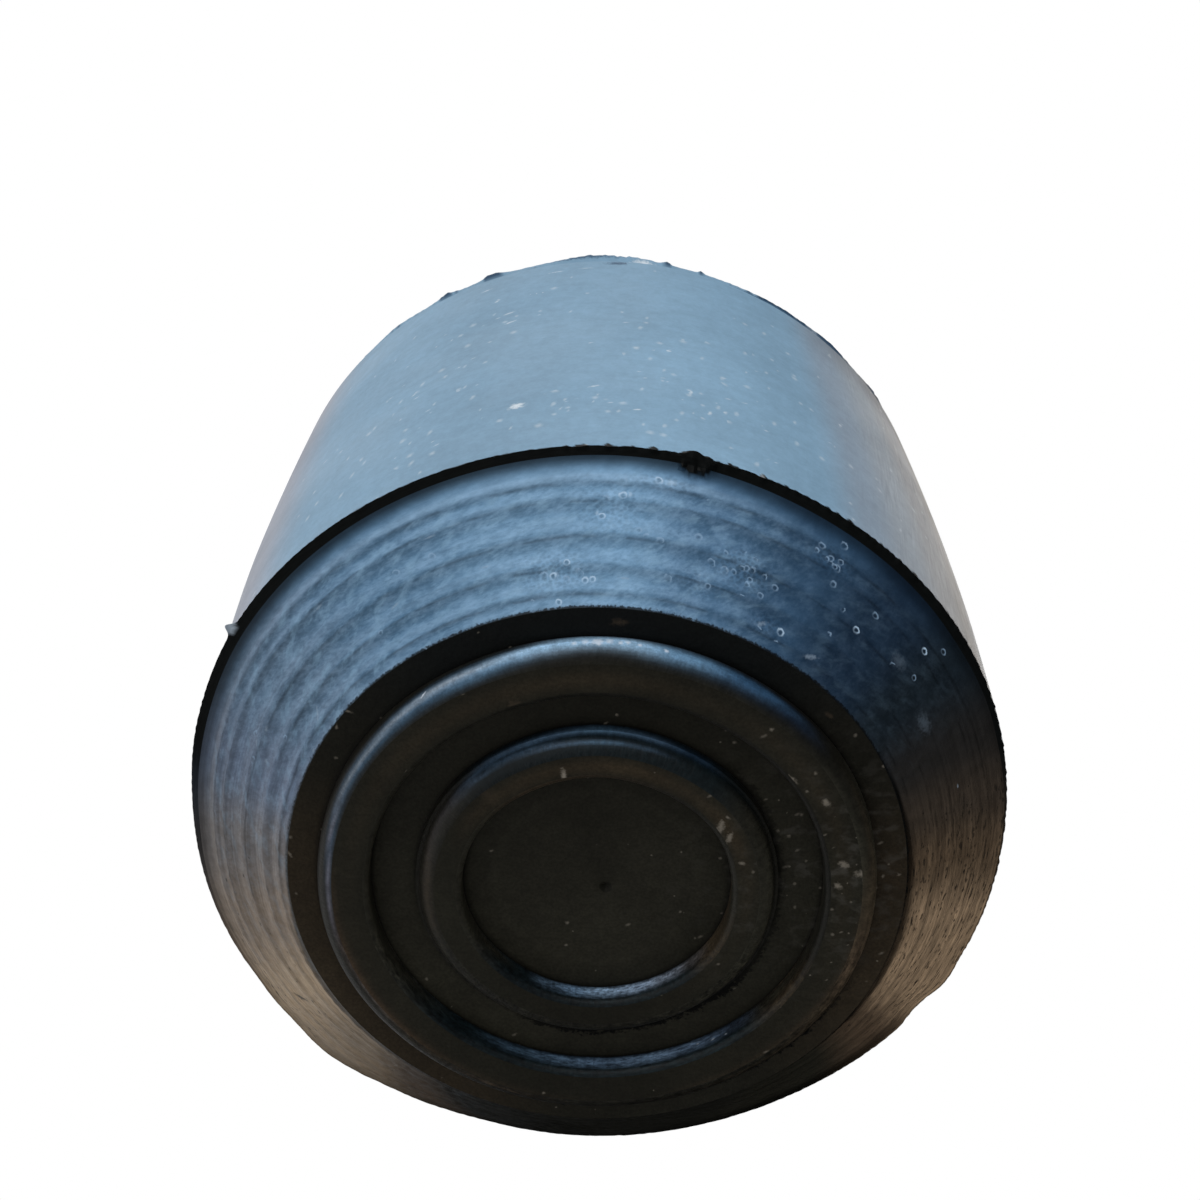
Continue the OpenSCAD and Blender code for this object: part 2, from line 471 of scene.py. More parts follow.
# %% Faces between two rows
def strip(i):
    """Faces between row i and row i + 1, as corner lists, with 0 or 1 for the row of each corner.
    They go round the other way, and the loop below turns them so that they face out of the rubber."""
    n, m = row_columns[i], row_columns[i + 1]
    k = np.arange(min(n, m) if min(n, m) > 1 else max(n, m))
    lo, hi = first[i], first[i + 1]
    if n == m:
        nxt = (k + 1) % n
        return [(np.stack([lo + k, hi + k, hi + nxt, lo + nxt], 1), np.array([0, 1, 1, 0]))]
    if n == 1:
        return [(np.stack([np.full(m, lo), hi + k, hi + (k + 1) % m], 1), np.array([0, 1, 1]))]
    if m == 1:
        return [(np.stack([lo + k, np.full(n, hi), lo + (k + 1) % n], 1), np.array([0, 1, 0]))]
    nxt = (k + 1) % len(k)
    if m == 2 * n:
        a, b, c = hi + 2 * k, hi + 2 * k + 1, hi + (2 * k + 2) % m
        return [(np.stack([lo + k, a, b], 1), np.array([0, 1, 1])),
                (np.stack([lo + k, b, lo + nxt], 1), np.array([0, 1, 0])),
                (np.stack([lo + nxt, b, c], 1), np.array([0, 1, 1]))]
    a, b, c = lo + 2 * k, lo + 2 * k + 1, lo + (2 * k + 2) % n
    return [(np.stack([a, hi + k, b], 1), np.array([0, 1, 0])),
            (np.stack([b, hi + k, hi + nxt], 1), np.array([0, 1, 1])),
            (np.stack([b, hi + nxt, c], 1), np.array([0, 1, 0]))]


corners, sizes, corner_row, face_zone = [], [], [], []
for i in range(len(row_r) - 1):
    for faces, side in strip(i):
        faces, side = faces[:, ::-1], side[::-1]
        corners.append(faces.ravel())
        sizes.append(np.full(len(faces), faces.shape[1]))
        corner_row.append(np.tile(i + side, len(faces)))
        face_zone.append(np.full(len(faces), row_zone[i]))
corners = np.concatenate(corners)
sizes = np.concatenate(sizes)
corner_row = np.concatenate(corner_row)
face_zone = np.concatenate(face_zone)
corner_face = np.repeat(np.arange(len(sizes)), sizes)
corner_zone = face_zone[corner_face]
corner_t = np.where(row_zone[corner_row] == corner_zone, row_t[corner_row], 1.0)
corner_phi = phi[corners]
corner_s = s[corners]
print(len(sizes), "faces,", int((sizes - 2).sum()), "triangles")

# %% The mesh
def add(name, data):
    """Links a new object with its data to the scene."""
    thing = bpy.data.objects.new(name, data)
    bpy.context.scene.collection.objects.link(thing)
    return thing


mesh = bpy.data.meshes.new("tip_skin")
mesh.vertices.add(len(points))
mesh.vertices.foreach_set("co", points.astype(np.float32).ravel())
mesh.loops.add(len(corners))
mesh.loops.foreach_set("vertex_index", corners.astype(np.int32))
mesh.polygons.add(len(sizes))
starts = np.concatenate([[0], np.cumsum(sizes)])[:-1]
mesh.polygons.foreach_set("loop_start", starts.astype(np.int32))
mesh.update(calc_edges=True)
mesh.validate()
mesh.shade_smooth()
mesh.set_sharp_from_angle(angle=math.radians(38))
tip = add("tip_skin", mesh)

mesh.calc_loop_triangles()
tris = np.zeros(len(mesh.loop_triangles) * 3, np.int32)
mesh.loop_triangles.foreach_get("vertices", tris)
a, b, c = (points[tris.reshape(-1, 3)[:, k]] for k in range(3))
volume = np.einsum("ij,ij->i", a, np.cross(b, c)).sum() / 6
print("volume enclosed:", round(volume * 1e6, 2), "cubic centimetres, faces outward if above 0")

# %% [markdown]
# ## Paint for each zone
#
# New rubber is black, and with age a pale blue-grey bloom of wax comes to its surface; the
# collar carries it. Much of the paint is painted light: a blue painted highlight on the front
# of the bevel and on the walls of the rings, warm painted reflections at the sides of the
# bevel, and painted shade in creases, under the lip and on the right. The flats that meet the
# ground are worn back to black. The paint is one colour per corner of a face, so it can change
# sharply from one zone to the next, and it is mixed from a few named finishes.

# %% Named finishes
def srgb(red, green, blue):
    """A colour given in the usual 0 to 255 steps, as the linear values that Blender works in."""
    v = np.array([red, green, blue]) / 255
    return np.where(v <= 0.04045, v / 12.92, ((v + 0.055) / 1.055) ** 2.4)


# Besides the rubber's black and the collar's pale blue-grey bloom, most of these colours stand for light:
# the bright blues are painted highlights, the warm browns on the bevel and the walls are painted
# reflections, and NAVY and INK are mostly painted shade.
SLATE = srgb(124, 157, 182)
PALE_SLATE = srgb(152, 164, 176)
WARM_GREY = srgb(150, 146, 142)
SKY = srgb(146, 182, 212)
FRONT_HIGHLIGHT = srgb(102, 140, 172)
BLUE_HIGHLIGHT = srgb(80, 115, 145)
FADING_HIGHLIGHT = srgb(68, 101, 131)
STEEL = srgb(78, 104, 130)
GREY = srgb(96, 93, 93)
GREY_WARM_SHEEN = srgb(120, 107, 94)
WARM_SHEEN = srgb(152, 133, 109)
UMBER = srgb(66, 54, 42)
NAVY = srgb(40, 67, 93)
INK = srgb(17, 37, 59)
SOOT = srgb(16, 16, 13)
TAN = srgb(122, 103, 82)
WORN = srgb(31, 30, 24)
EARTH = srgb(45, 38, 28)
DEEP = srgb(9, 11, 11)

# %% [markdown]
# ## Painted light round the bevel
#
# Round the bevel the paint is painted light: a blue painted highlight at the front, painted
# shade on the right, warm painted reflections at both sides and plain black behind. The stops
# give a finish for some angles, in degrees from the front and positive to the right, and the
# paint runs smoothly from one to the next. Both ends of the bevel are darker than its middle,
# the top as painted shade under the lip, and each turned hollow carries a lighter band, a
# painted highlight.

# %% Painted light and shade round the bevel
DUSK = srgb(90, 104, 125)
# the tone round the axis: painted highlight at the front, painted shade on the right, painted reflections
# at the sides
BEVEL_ROUND = {-172: SOOT, -158: SOOT, -148: UMBER * 0.8, -137: WARM_SHEEN * 0.55, -122: WARM_SHEEN * 1.15,
               -106: GREY_WARM_SHEEN * 1.08, -90: GREY * 1.1, -76: DUSK, -60: srgb(84, 109, 133),
               -35: BLUE_HIGHLIGHT, -14: FRONT_HIGHLIGHT * 0.94, 2: FRONT_HIGHLIGHT, 16: FADING_HIGHLIGHT,
               30: NAVY, 45: srgb(20, 38, 57), 58: srgb(17, 26, 33), 70: srgb(30, 29, 28),
               80: srgb(50, 43, 36), 90: srgb(74, 61, 47), 103: TAN * 0.9, 116: TAN * 1.08,
               128: UMBER, 140: WORN, 150: WORN * 0.8, 162: SOOT * 1.3, 178: SOOT * 1.35}
FOOT_WIDE = {-150: 0.07, -118: 0.1, -90: 0.03, -60: 0.02, 0: 0.02, 60: 0.02, 90: 0.08, 112: 0.115,
             135: 0.04, 180: 0.02}
# TOP_FADE and TOP_FROM: painted shade under the lip, how dark it is and from how far up
TOP_FADE = {-115: 0.3, -90: 0.55, -60: 0.82, 0: 0.84, 25: 0.66, 50: 0.5, 70: 0.2, 90: 0.0, 122: 0.0,
            130: 0.6, 138: 0.75, 152: 0.75, 180: 0.4}
TOP_FROM = {-100: 0.86, -70: 0.8, -40: 0.87, 0: 0.89, 30: 0.88, 60: 0.88, 110: 0.85, 130: 0.66,
            150: 0.66, 180: 0.8}
# BAND_GAIN and BAND_PALE: how strong the painted highlight in each hollow is, and its colour
BAND_GAIN = {-160: 0.0, -150: -0.05, -115: 0.08, -85: 0.16, -60: 0.28, 0: 0.27, 20: 0.2, 40: 0.06,
             70: 0.0, 85: -0.08, 100: -0.16, 118: -0.1, 140: 0.0}
BAND_PALE = {-180: WARM_SHEEN, -110: WARM_SHEEN * 1.2, -85: WARM_GREY, -60: srgb(146, 160, 180),
             -30: srgb(150, 178, 204), 5: srgb(156, 184, 210), 30: srgb(96, 128, 158), 60: STEEL * 0.6,
             90: WARM_SHEEN * 0.8, 180: WARM_SHEEN * 0.5}

# %% Paint of the bevel and the ledge
tone = np.tile(WORN, (len(corners), 1))


def on(name):
    """Which corners belong to faces of a zone."""
    return corner_zone == ZONE_NAMES.index(name)


def paint(names, colours):
    """Gives the corners of some zones their colours, one each, or one for all."""
    for name in names:
        mask = on(name)
        tone[mask] = colours[mask] if np.ndim(colours) > 1 else colours


def around(stops):
    """The value of some stops at every corner."""
    return round_values(corner_phi, stops)


def mix(under, over, share):
    """A share of one colour over another: under (1 - share) + over share."""
    return under * (1 - share) + over * share


LEAN = 0.09
OUTER_LINE = 0.855
# painted light on the bevel: the tone round the axis, top's painted shade under the lip, and bright, the
# painted highlight of each hollow and of the line at OUTER_LINE
bevel_tone = round_values(corner_phi * (1 - LEAN * (corner_t - 0.5)), BEVEL_ROUND)
foot = 0.15 + 0.85 * smooth(corner_t / around(FOOT_WIDE), 0.6, 1.2)
top = 1 - around(TOP_FADE) * smooth(corner_t, around(TOP_FROM), 1.0)
bands = band_light(corner_t, corner_s, corner_phi)
gain = around(BAND_GAIN)
outer_line = 0.45 * lump(corner_t - OUTER_LINE, 0.018) * smooth(gain, 0.05, 0.2)
bright = 0.55 * (np.maximum(bands, 0) * np.maximum(gain, 0) + outer_line)[:, None]
bevel_tone = bevel_tone * (1 + np.minimum(bands * gain, 0.12))[:, None]
bevel_tone = mix(bevel_tone, around(BAND_PALE), bright)
paint(["bevel"], bevel_tone * (foot * top)[:, None])

# the ledge is painted black, most of all at the front: painted shade under the lip
ledge_side = around({-150: 0.5, -118: 0.8, -92: 0.25, -78: 0.0, 0: 0.0, 70: 0.0, 90: 0.6, 112: 0.9,
                     150: 0.4})[:, None]
bevel_end = round_values(corner_phi * 0.93, BEVEL_ROUND)
paint(["ledge"], mix(DEEP, bevel_end * 0.7, ledge_side))
black_clot = smooth(clot[corners], 0.15, 0.6)[:, None]
pale_tag = smooth(tag[corners], 0.1, 0.4)[:, None]
paint(["bevel"], mix(tone, DEEP, black_clot))
paint(["ledge"], mix(tone, PALE_SLATE, pale_tag))

# %% [markdown]
# ## Walls of the rings
#
# A ring's outer shoulder carries a painted highlight: a band that climbs from the crown's
# edge on the left to the top of the wall at the front, broad and bright there, and narrow and
# dull towards the sides. The far walls, inside the rings, carry a narrower painted highlight
# with a dark foot of painted shade. A band is a bell curve across the wall.

# %% Painted highlight bands on the walls
def glow(distance, centre, half):
    """A soft band: 1 in the middle, about a seventh at half a width from it."""
    return np.exp(-2 * ((distance - centre) / half) ** 2)[:, None]


TEAL = srgb(13, 21, 24)
VIOLET = srgb(128, 128, 142)
# the outer ring's painted highlight: OUTER_BAND its colour round the axis, OUTER_CORE a brighter painted
# core, OUTER_CENTRE and OUTER_HALF where across the wall it lies and how wide it is; WALL_ROUND is the wall
# beside it, warmer on the right as a painted reflection
OUTER_BAND = {-150: SOOT * 0.7, -135: EARTH, -118: UMBER * 0.75, -100: UMBER * 0.5, -86: STEEL * 0.3,
              -72: STEEL * 0.45, -55: BLUE_HIGHLIGHT * 0.48, -38: BLUE_HIGHLIGHT * 0.68, -22: FRONT_HIGHLIGHT * 0.8,
              -8: SKY * 0.75, 5: SKY * 0.8, 14: FRONT_HIGHLIGHT * 0.8, 28: NAVY * 1.15, 42: INK * 0.6,
              55: WORN * 0.4, 74: WORN * 0.8, 92: EARTH * 1.3, 106: UMBER * 0.9, 122: EARTH,
              140: WORN * 0.5}
OUTER_CORE = {-140: UMBER, -118: GREY * 0.4, -100: VIOLET * 0.4, -80: VIOLET * 0.6,
              -60: PALE_SLATE * 0.5, -30: PALE_SLATE * 0.85, -8: SKY * 1.3, 4: SKY * 1.3,
              16: FRONT_HIGHLIGHT, 30: NAVY * 1.2, 50: WORN * 0.4, 90: EARTH, 180: WORN * 0.5}
OUTER_CENTRE = {-120: 0.0, -90: 0.12, -60: 0.4, -30: 0.62, 0: 1.0, 15: 0.85, 45: 0.75, 75: 0.5,
                105: 0.4, 140: 0.3, 180: 0.2}
OUTER_HALF = {-120: 0.12, -90: 0.17, -60: 0.28, -30: 0.44, 0: 0.42, 15: 0.5, 45: 0.5, 80: 0.6, 110: 0.8,
              140: 0.5, 180: 0.2}
CORE_HALF = {-140: 0.06, -90: 0.08, -60: 0.13, -30: 0.2, 0: 0.3, 14: 0.35, 40: 0.3, 180: 0.1}
CORE_AT = {-60: 0.03, -30: 0.1, 0: 0.14, 20: 0.1, 180: 0.0}
WALL_ROUND = {-110: WORN * 0.4, 0: WORN * 0.35, 50: WORN * 0.4, 64: WORN * 0.9, 78: WORN * 1.5,
              104: EARTH * 1.5, 128: WORN * 0.6, 180: WORN * 0.3}
CORE_SHARE = 0.75
up = corner_s - starts_at("outer ring shoulder")
band = glow(up, around(OUTER_CENTRE), around(OUTER_HALF))
core = glow(up, around(OUTER_CENTRE) + around(CORE_AT), around(CORE_HALF)) * CORE_SHARE
base = around(WALL_ROUND) + (WORN * 0.4) * (1 - smooth(up, 0.0, 0.35))[:, None]
ring_tone = mix(base, around(OUTER_BAND), band)
paint(["outer ring shoulder", "outer ring wall"], mix(ring_tone, around(OUTER_CORE), core))

# %% Two narrow painted highlights on the inner ring
INNER_BAND = {-120: WORN * 0.9, -90: EARTH * 0.9, -60: GREY * 0.22, -34: STEEL * 0.42,
              -14: STEEL * 0.75, 0: FRONT_HIGHLIGHT * 0.6, 14: STEEL * 0.7, 30: NAVY * 0.4, 46: TEAL,
              70: WORN * 0.6, 100: WORN, 180: WORN * 0.7}
INNER_BASE = {-150: WORN * 0.6, -120: WORN * 0.7, -90: WORN * 0.65, -60: WORN * 0.55, -36: TEAL * 0.7,
              0: TEAL, 36: TEAL, 60: WORN * 0.85, 90: WORN * 1.3, 120: WORN * 1.2, 150: WORN * 0.8,
              180: WORN * 0.6}
INNER_CENTRE = {-90: 0.3, -60: 0.6, -30: 1.08, 0: 1.24, 30: 1.15, 60: 1.0, 180: 0.5}
FINE_CENTRE = {-60: 0.45, -30: 0.68, 0: 0.58, 30: 0.62, 180: 0.6}
FINE_SHARE = {-70: 0.0, -45: 0.8, -25: 0.9, 0: 0.6, 14: 0.4, 30: 0.0}
up = corner_s - starts_at("inner ring shoulder")
wide = glow(up, around(INNER_CENTRE), 0.27)
fine = glow(up, around(FINE_CENTRE), 0.13) * around(FINE_SHARE)[:, None]
inner_tone = mix(around(INNER_BASE), around(INNER_BAND), np.maximum(wide, fine))
paint(["inner ring shoulder", "inner ring step", "inner ring wall"], inner_tone)

# %% Far walls inside the rings, with painted highlights
# painted highlights on the far walls inside the rings; lit sets where they lie, with painted shade at the
# foot
FAR_OUTER = {-172: srgb(88, 112, 136), -160: srgb(52, 70, 86), -145: TEAL * 1.2, -120: WORN * 0.8,
             110: WORN, 130: WORN * 1.5, 140: srgb(50, 60, 74), 152: srgb(92, 112, 136),
             165: srgb(108, 132, 158), 180: srgb(92, 116, 142)}
FAR_INNER = {-172: srgb(98, 124, 150), -160: srgb(60, 76, 92), -148: TEAL * 1.2, -130: WORN * 0.8,
             104: EARTH, 120: EARTH * 1.4, 134: srgb(70, 68, 68), 148: srgb(110, 120, 134),
             160: srgb(134, 154, 178), 180: srgb(126, 152, 178)}
NEAR_EDGE = {"outer": {-140: TEAL * 0.8, -110: WORN, -60: WORN * 0.85, -30: WORN * 0.65, 0: WORN * 0.45,
                       40: WORN * 0.55, 75: WORN * 0.4, 105: WORN * 0.5, 122: EARTH, 140: TEAL * 1.2},
             "inner": {-140: TEAL * 0.7, -110: WORN, -60: WORN * 1.1, -30: EARTH * 0.8, 0: EARTH * 0.7,
                       40: WORN * 0.7, 90: WORN, 120: EARTH, 140: TEAL}}
for ring, stops in (("outer", FAR_OUTER), ("inner", FAR_INNER)):
    down = starts_at(ring + " crown") - corner_s
    lit = (smooth(down, 0.36, 0.96) * (1 - smooth(down, 1.04, 1.16)))[:, None]
    near_edge = around(NEAR_EDGE[ring])
    paint([ring + " ring inside"], mix(near_edge * 0.9, around(stops), lit))
    paint([ring + " ring edge"], mix(near_edge, around(stops), lit))

# %% [markdown]
# ## Flats, collar and socket
#
# The flats of the sole are black, browner at the sides, with painted shade along the foot of
# every wall. The collar is pale, with warm painted reflections at its two sides and painted
# shade on its right, and a little lighter in a thin line under the rim.

# %% Paint of the flats
LAND_ROUND = {-145: EARTH * 0.85, -118: EARTH, -90: EARTH * 0.85, -60: WORN * 0.65, -30: DEEP * 1.3,
              0: DEEP, 30: DEEP * 1.3, 60: WORN * 0.6, 90: EARTH * 0.75, 112: EARTH, 150: WORN * 0.85,
              180: WORN * 0.8}
GROOVE_ROUND = {-120: WORN * 1.45, -60: WORN * 1.1, 10: WORN * 0.68, 60: WORN * 1.15, 120: WORN * 1.45,
                180: WORN * 1.3}
DISC_ROUND = {-90: WORN * 1.1, 0: WORN * 0.85, 90: WORN * 1.2, 180: WORN * 1.2}
INNER_CROWN_ROUND = {-100: WORN, -60: WORN * 0.8, 0: WORN * 0.85, 45: WORN, 90: WORN * 1.15,
                     180: WORN * 0.7}
OUTER_CROWN_ROUND = {-120: WORN * 0.9, 0: WORN * 0.8, 110: WORN, 180: WORN * 0.7}
INNER_RUBBED = {-75: 0.0, -45: 0.5, -15: 0.8, 10: 1.0, 35: 0.6, 60: 0.8, 80: 0.3, 120: 0.1, 180: 0.0}
OUTER_RUBBED = {-90: 0.1, -40: 0.35, -5: 0.5, 30: 0.2, 60: 0.3, 120: 0.1, 180: 0.0}
# a thin warm painted highlight along the outer edge of the outer crown, at both sides
OUTER_RIM_WARM_HIGHLIGHT = {-150: 0.3, -132: 0.9, -112: 1.0, -95: 0.5, -78: 0.0, 85: 0.0, 105: 0.3, 122: 0.5,
                 150: 0.25, 170: 0.0}
FOOT_SHADE_REACH = 0.13


def foot_shade(distance):
    """Painted shade along the foot of a wall: darkest at the foot and gone 0.2 mm away."""
    return (1 - 0.7 * np.exp(-(distance / FOOT_SHADE_REACH) ** 2))[:, None]


land_foot_shade = foot_shade(corner_s - starts_at("land"))
open_foot = around({-110: 0.0, 60: 0.0, 80: 0.8, 108: 0.8, 125: 0.0, 180: 0.0})[:, None]
paint(["land"], around(LAND_ROUND) * (land_foot_shade + (1 - land_foot_shade) * open_foot))
rubbed = (around(OUTER_RUBBED) * lump(corner_t - 0.45, 0.22))[:, None]
warm_edge_highlight = (around(OUTER_RIM_WARM_HIGHLIGHT) * smooth(corner_t, 0.72, 1.0))[:, None]
crown_tone = mix(around(OUTER_CROWN_ROUND), EARTH * 1.2, rubbed)
paint(["outer crown"], mix(crown_tone, UMBER * 0.75, warm_edge_highlight))
groove_s = corner_s - starts_at("groove")
paint(["groove"], around(GROOVE_ROUND) * foot_shade(groove_s) * foot_shade(GROOVE - groove_s))
rubbed = (around(INNER_RUBBED) * lump(corner_t - 0.42, 0.26))[:, None]
paint(["inner crown"], mix(around(INNER_CROWN_ROUND), EARTH * 1.15, rubbed))
disc_edge = starts_at("inner ring inside") - corner_s
paint(["disc core", "disc middle", "disc"], around(DISC_ROUND) * foot_shade(disc_edge))
# the dimple is painted darker than the disc: painted shade in its hollow
paint(["gate"], WORN * 0.6)

# %% Paint of the collar and the socket
# the collar's tone round the axis is its blue-grey bloom with painted light on it: warm painted reflections
# at its two sides and darker at the back; SHADED_ROUND is painted shade on its right
COLLAR_ROUND = {-130: SLATE * 0.75, -105: srgb(116, 124, 134), -90: WARM_GREY, -72: srgb(150, 156, 168),
                -60: srgb(144, 150, 164), -44: SLATE * 1.01, -32: SLATE * 1.01, -20: SLATE * 0.94,
                -10: SLATE * 0.98, 0: SLATE * 1.03, 9: SLATE * 1.1, 20: SLATE * 1.13, 30: SLATE * 1.05,
                38: srgb(132, 149, 166), 46: srgb(142, 151, 160), 54: srgb(142, 142, 143),
                62: srgb(138, 133, 127), 78: srgb(122, 124, 126), 100: srgb(110, 118, 126),
                130: SLATE * 0.72, 180: SLATE * 0.75}
SHADED_ROUND = {-60: 0.0, 30: 0.0, 50: 0.36, 66: 0.45, 90: 0.2, 140: 0.0}
RIM_LINE = 0.58
SOCKET_BLACK = srgb(44, 47, 50)
below_rim = starts_at("rim band") - corner_s
rim_light = 1 + 0.22 * np.exp(-((below_rim - RIM_LINE) / 0.12) ** 2)
shaded = around(SHADED_ROUND) * smooth(below_rim, 5.0, 0.5)
collar_tone = around(COLLAR_ROUND) * (rim_light * (1 - shaded))[:, None]
at_brim = smooth(corner_s - starts_at("rim edge"), -0.42, -0.10)
at_brim *= 1 - smooth(corner_s - starts_at("mouth face") + 0.12 * frayed[corners], -0.1, 0.5)
torn_edge = (smooth(black_flash[corners] + 0.12 * frayed[corners], 0.3, 0.8) * at_brim)[:, None]
tooth = (0.030 + 0.05 * chips + 0.04 * ragged)[corners] * around(ROUGH_AT)
toothed = smooth(tooth - (corner_s - starts_at("collar foot")), 0.0, 0.05)[:, None]
paint(["collar"], collar_tone)
paint(["collar foot"], mix(collar_tone, DEEP, np.maximum(black_clot, toothed)))
paint(["rim band", "rim edge"], mix(collar_tone * 0.97, NAVY, torn_edge))
paint(["mouth face"], mix(collar_tone * 0.8, NAVY, torn_edge))
paint([name for name in ZONE_NAMES if name.startswith("socket")] + ["lead-in"], SOCKET_BLACK)
print("mean paint of the tip, linear:", tone.mean(0).round(3))


# %% [markdown]
# ## What the materials read
#
# Besides the paint, the mesh stores flat coordinates in millimetres for everything that
# lies in the surface: arc round the axis and distance along the outline on the sides, x and y
# on the flats. It also stores how strongly some kinds of wear, a painted highlight and a
# painted shade show at each place.

# %% Attributes that the materials read
def store(name, values):
    """Stores one value for each point or each corner: a number, a vector or a colour."""
    kinds = {1: ("FLOAT", "value"), 3: ("FLOAT_VECTOR", "vector"), 4: ("FLOAT_COLOR", "color")}
    kind, field = kinds[values.size // len(values)]
    layer = mesh.attributes.new(name, kind, "POINT" if len(values) == len(points) else "CORNER")
    layer.data.foreach_set(field, np.ascontiguousarray(values, np.float32).ravel())


FLAT_R = {"wall": 10.0, "bevel": 15.3, "ledge": 17.6, "collar": 17.2, "socket": 11.0}
flat_r = np.array([FLAT_R.get(z[4], 0.0) for z in zones])[corner_zone]
face_low = np.minimum.reduceat(corner_phi, starts)
face_high = np.maximum.reduceat(corner_phi, starts)
wraps = (face_high - face_low > np.pi)[corner_face]
unrolled = np.where(wraps & (corner_phi < 0), corner_phi + 2 * np.pi, corner_phi)
skin = np.stack([np.where(flat_r > 0, unrolled * flat_r, x[corners]),
                 np.where(flat_r > 0, corner_s, y[corners]), np.zeros(len(corners))], 1)
store("skin", skin)
store("tone", np.hstack([tone, np.ones((len(corners), 1))]))
store("turned", np.stack([x, y, s], 1))

# %% [markdown]
# ## Single marks
#
# A mark is an ellipse a few tenths of a millimetre long. The faces round it store where they
# lie in that ellipse: 0 in its middle and 1 at its edge. One small group of nodes can then draw
# every mark, and the marks come out sharp however coarse the mesh is.

# %% Where single marks lie
spot = np.tile([9.0, 9.0, 0.0], (len(corners), 1))
spot_tone = np.zeros((len(corners), 4))
spot_reach = np.full(len(corners), 9.0)


def on_bevel(degrees, share):
    """Skin coordinates of a place on the bevel."""
    return math.radians(degrees) * FLAT_R["bevel"], starts_at("bevel") + share * BEVEL_LONG


def on_collar(degrees, height):
    """Skin coordinates of a place on the collar."""
    return math.radians(degrees) * FLAT_R["collar"], starts_at("collar foot") + height - LIP_Z


def on_wall(degrees, up):
    """Skin coordinates of a place on the outer ring's shoulder and wall."""
    return math.radians(degrees) * FLAT_R["wall"], starts_at("outer ring shoulder") + up


def on_flat(degrees, radius):
    """Skin coordinates of a place on the sole, which are simply x and y."""
    return radius * math.sin(math.radians(degrees)), -radius * math.cos(math.radians(degrees))


def mark(finish, where, colour, share, places, ring=0.0):
    """Marks of one colour. Each place is degrees, a second coordinate, half length, half width
    and, if it's turned, its turn. A ring of 1 makes a ring round a darker middle, 0 a patch."""
    finishes_here = np.array([z[4] == finish for z in zones])[corner_zone]
    for degrees, second, long, wide, *turned_by in places:
        away = skin[:, :2] - where(degrees, second)
        turn = math.radians(sum(turned_by))
        u = (away[:, 0] * math.cos(turn) + away[:, 1] * math.sin(turn)) / long
        v = (away[:, 1] * math.cos(turn) - away[:, 0] * math.sin(turn)) / wide
        low = np.maximum(np.minimum.reduceat(u, starts), np.minimum.reduceat(v, starts))
        high = np.minimum(np.maximum.reduceat(u, starts), np.maximum.reduceat(v, starts))
        reach = np.minimum.reduceat(np.hypot(u, v), starts)[corner_face]
        near = ((low < 1.35) & (high > -1.35))[corner_face]
        touched = near & finishes_here & (reach < spot_reach)
        spot[touched] = np.stack([u, v, np.full(len(u), ring)], 1)[touched]
        spot_tone[touched] = (*colour, share)
        spot_reach[touched] = reach[touched]


# %% Marks on the bevel
# BLISTER and DIM_BLISTER: the bright rings of blisters, painted highlights on their rims
BLISTER = srgb(176, 202, 226)
DIM_BLISTER = srgb(140, 168, 196)
mark("bevel", on_bevel, BLISTER, 0.8, [
    (2.4, 0.74, 0.16, 0.14, 30), (7.2, 0.865, 0.14, 0.14), (42.8, 0.475, 0.16, 0.13),
    (-8.3, 0.22, 0.15, 0.13, 20), (-3.1, 0.18, 0.14, 0.13, 10), (-1.9, 0.185, 0.13, 0.13),
    (-0.6, 0.6, 0.15, 0.12), (-6.0, 0.3, 0.14, 0.13), (-7.7, 0.045, 0.14, 0.13),
    (31.2, 0.16, 0.17, 0.15), (54.6, 0.75, 0.15, 0.13)], 1.0)
mark("bevel", on_bevel, DIM_BLISTER, 0.5, [
    (5.0, 0.52, 0.13, 0.12), (14.0, 0.55, 0.15, 0.13), (34.0, 0.785, 0.13, 0.12),
    (35.6, 0.8, 0.12, 0.12), (35.0, 0.75, 0.12, 0.12), (32.0, 0.83, 0.14, 0.13),
    (36.0, 0.64, 0.14, 0.13), (44.4, 0.65, 0.15, 0.13), (57.3, 0.875, 0.13, 0.12),
    (56.0, 0.56, 0.13, 0.12), (17.0, 0.25, 0.13, 0.12), (27.6, 0.41, 0.15, 0.13),
    (25.8, 0.32, 0.14, 0.13), (20.5, 0.4, 0.12, 0.12), (22.3, 0.45, 0.13, 0.12),
    (23.4, 0.39, 0.12, 0.11)], 1.0)
mark("bevel", on_bevel, BLISTER, 0.5, [
    (9.0, 0.865, 0.24, 0.13, 20), (3.4, 0.75, 0.1, 0.14), (-1.2, 0.62, 0.1, 0.12)])
mark("bevel", on_bevel, srgb(150, 168, 186), 0.36, [
    (38, 0.13, 0.42, 0.12, 25), (27.5, 0.15, 0.34, 0.1, 30), (77.3, 0.55, 0.12, 0.06),
    (-71, 0.5, 0.3, 0.07, 20), (-67.5, 0.46, 0.16, 0.1, 20), (-72.5, 0.37, 0.12, 0.12),
    (-63.1, 0.03, 0.12, 0.08), (-46.5, 0.68, 0.3, 0.07), (-26, 0.68, 0.3, 0.06),
    (-19, 0.37, 0.28, 0.06), (-35, 0.37, 0.3, 0.06, 10), (-57.6, 0.16, 0.5, 0.06, 50),
    (3.3, 0.2, 0.3, 0.05)])
mark("bevel", on_bevel, srgb(96, 110, 124), 0.25, [(63, 0.44, 0.6, 0.35), (52, 0.54, 0.5, 0.35)])
mark("bevel", on_bevel, DEEP, 0.85, [(-124, 0.6, 0.55, 0.16, 60)])

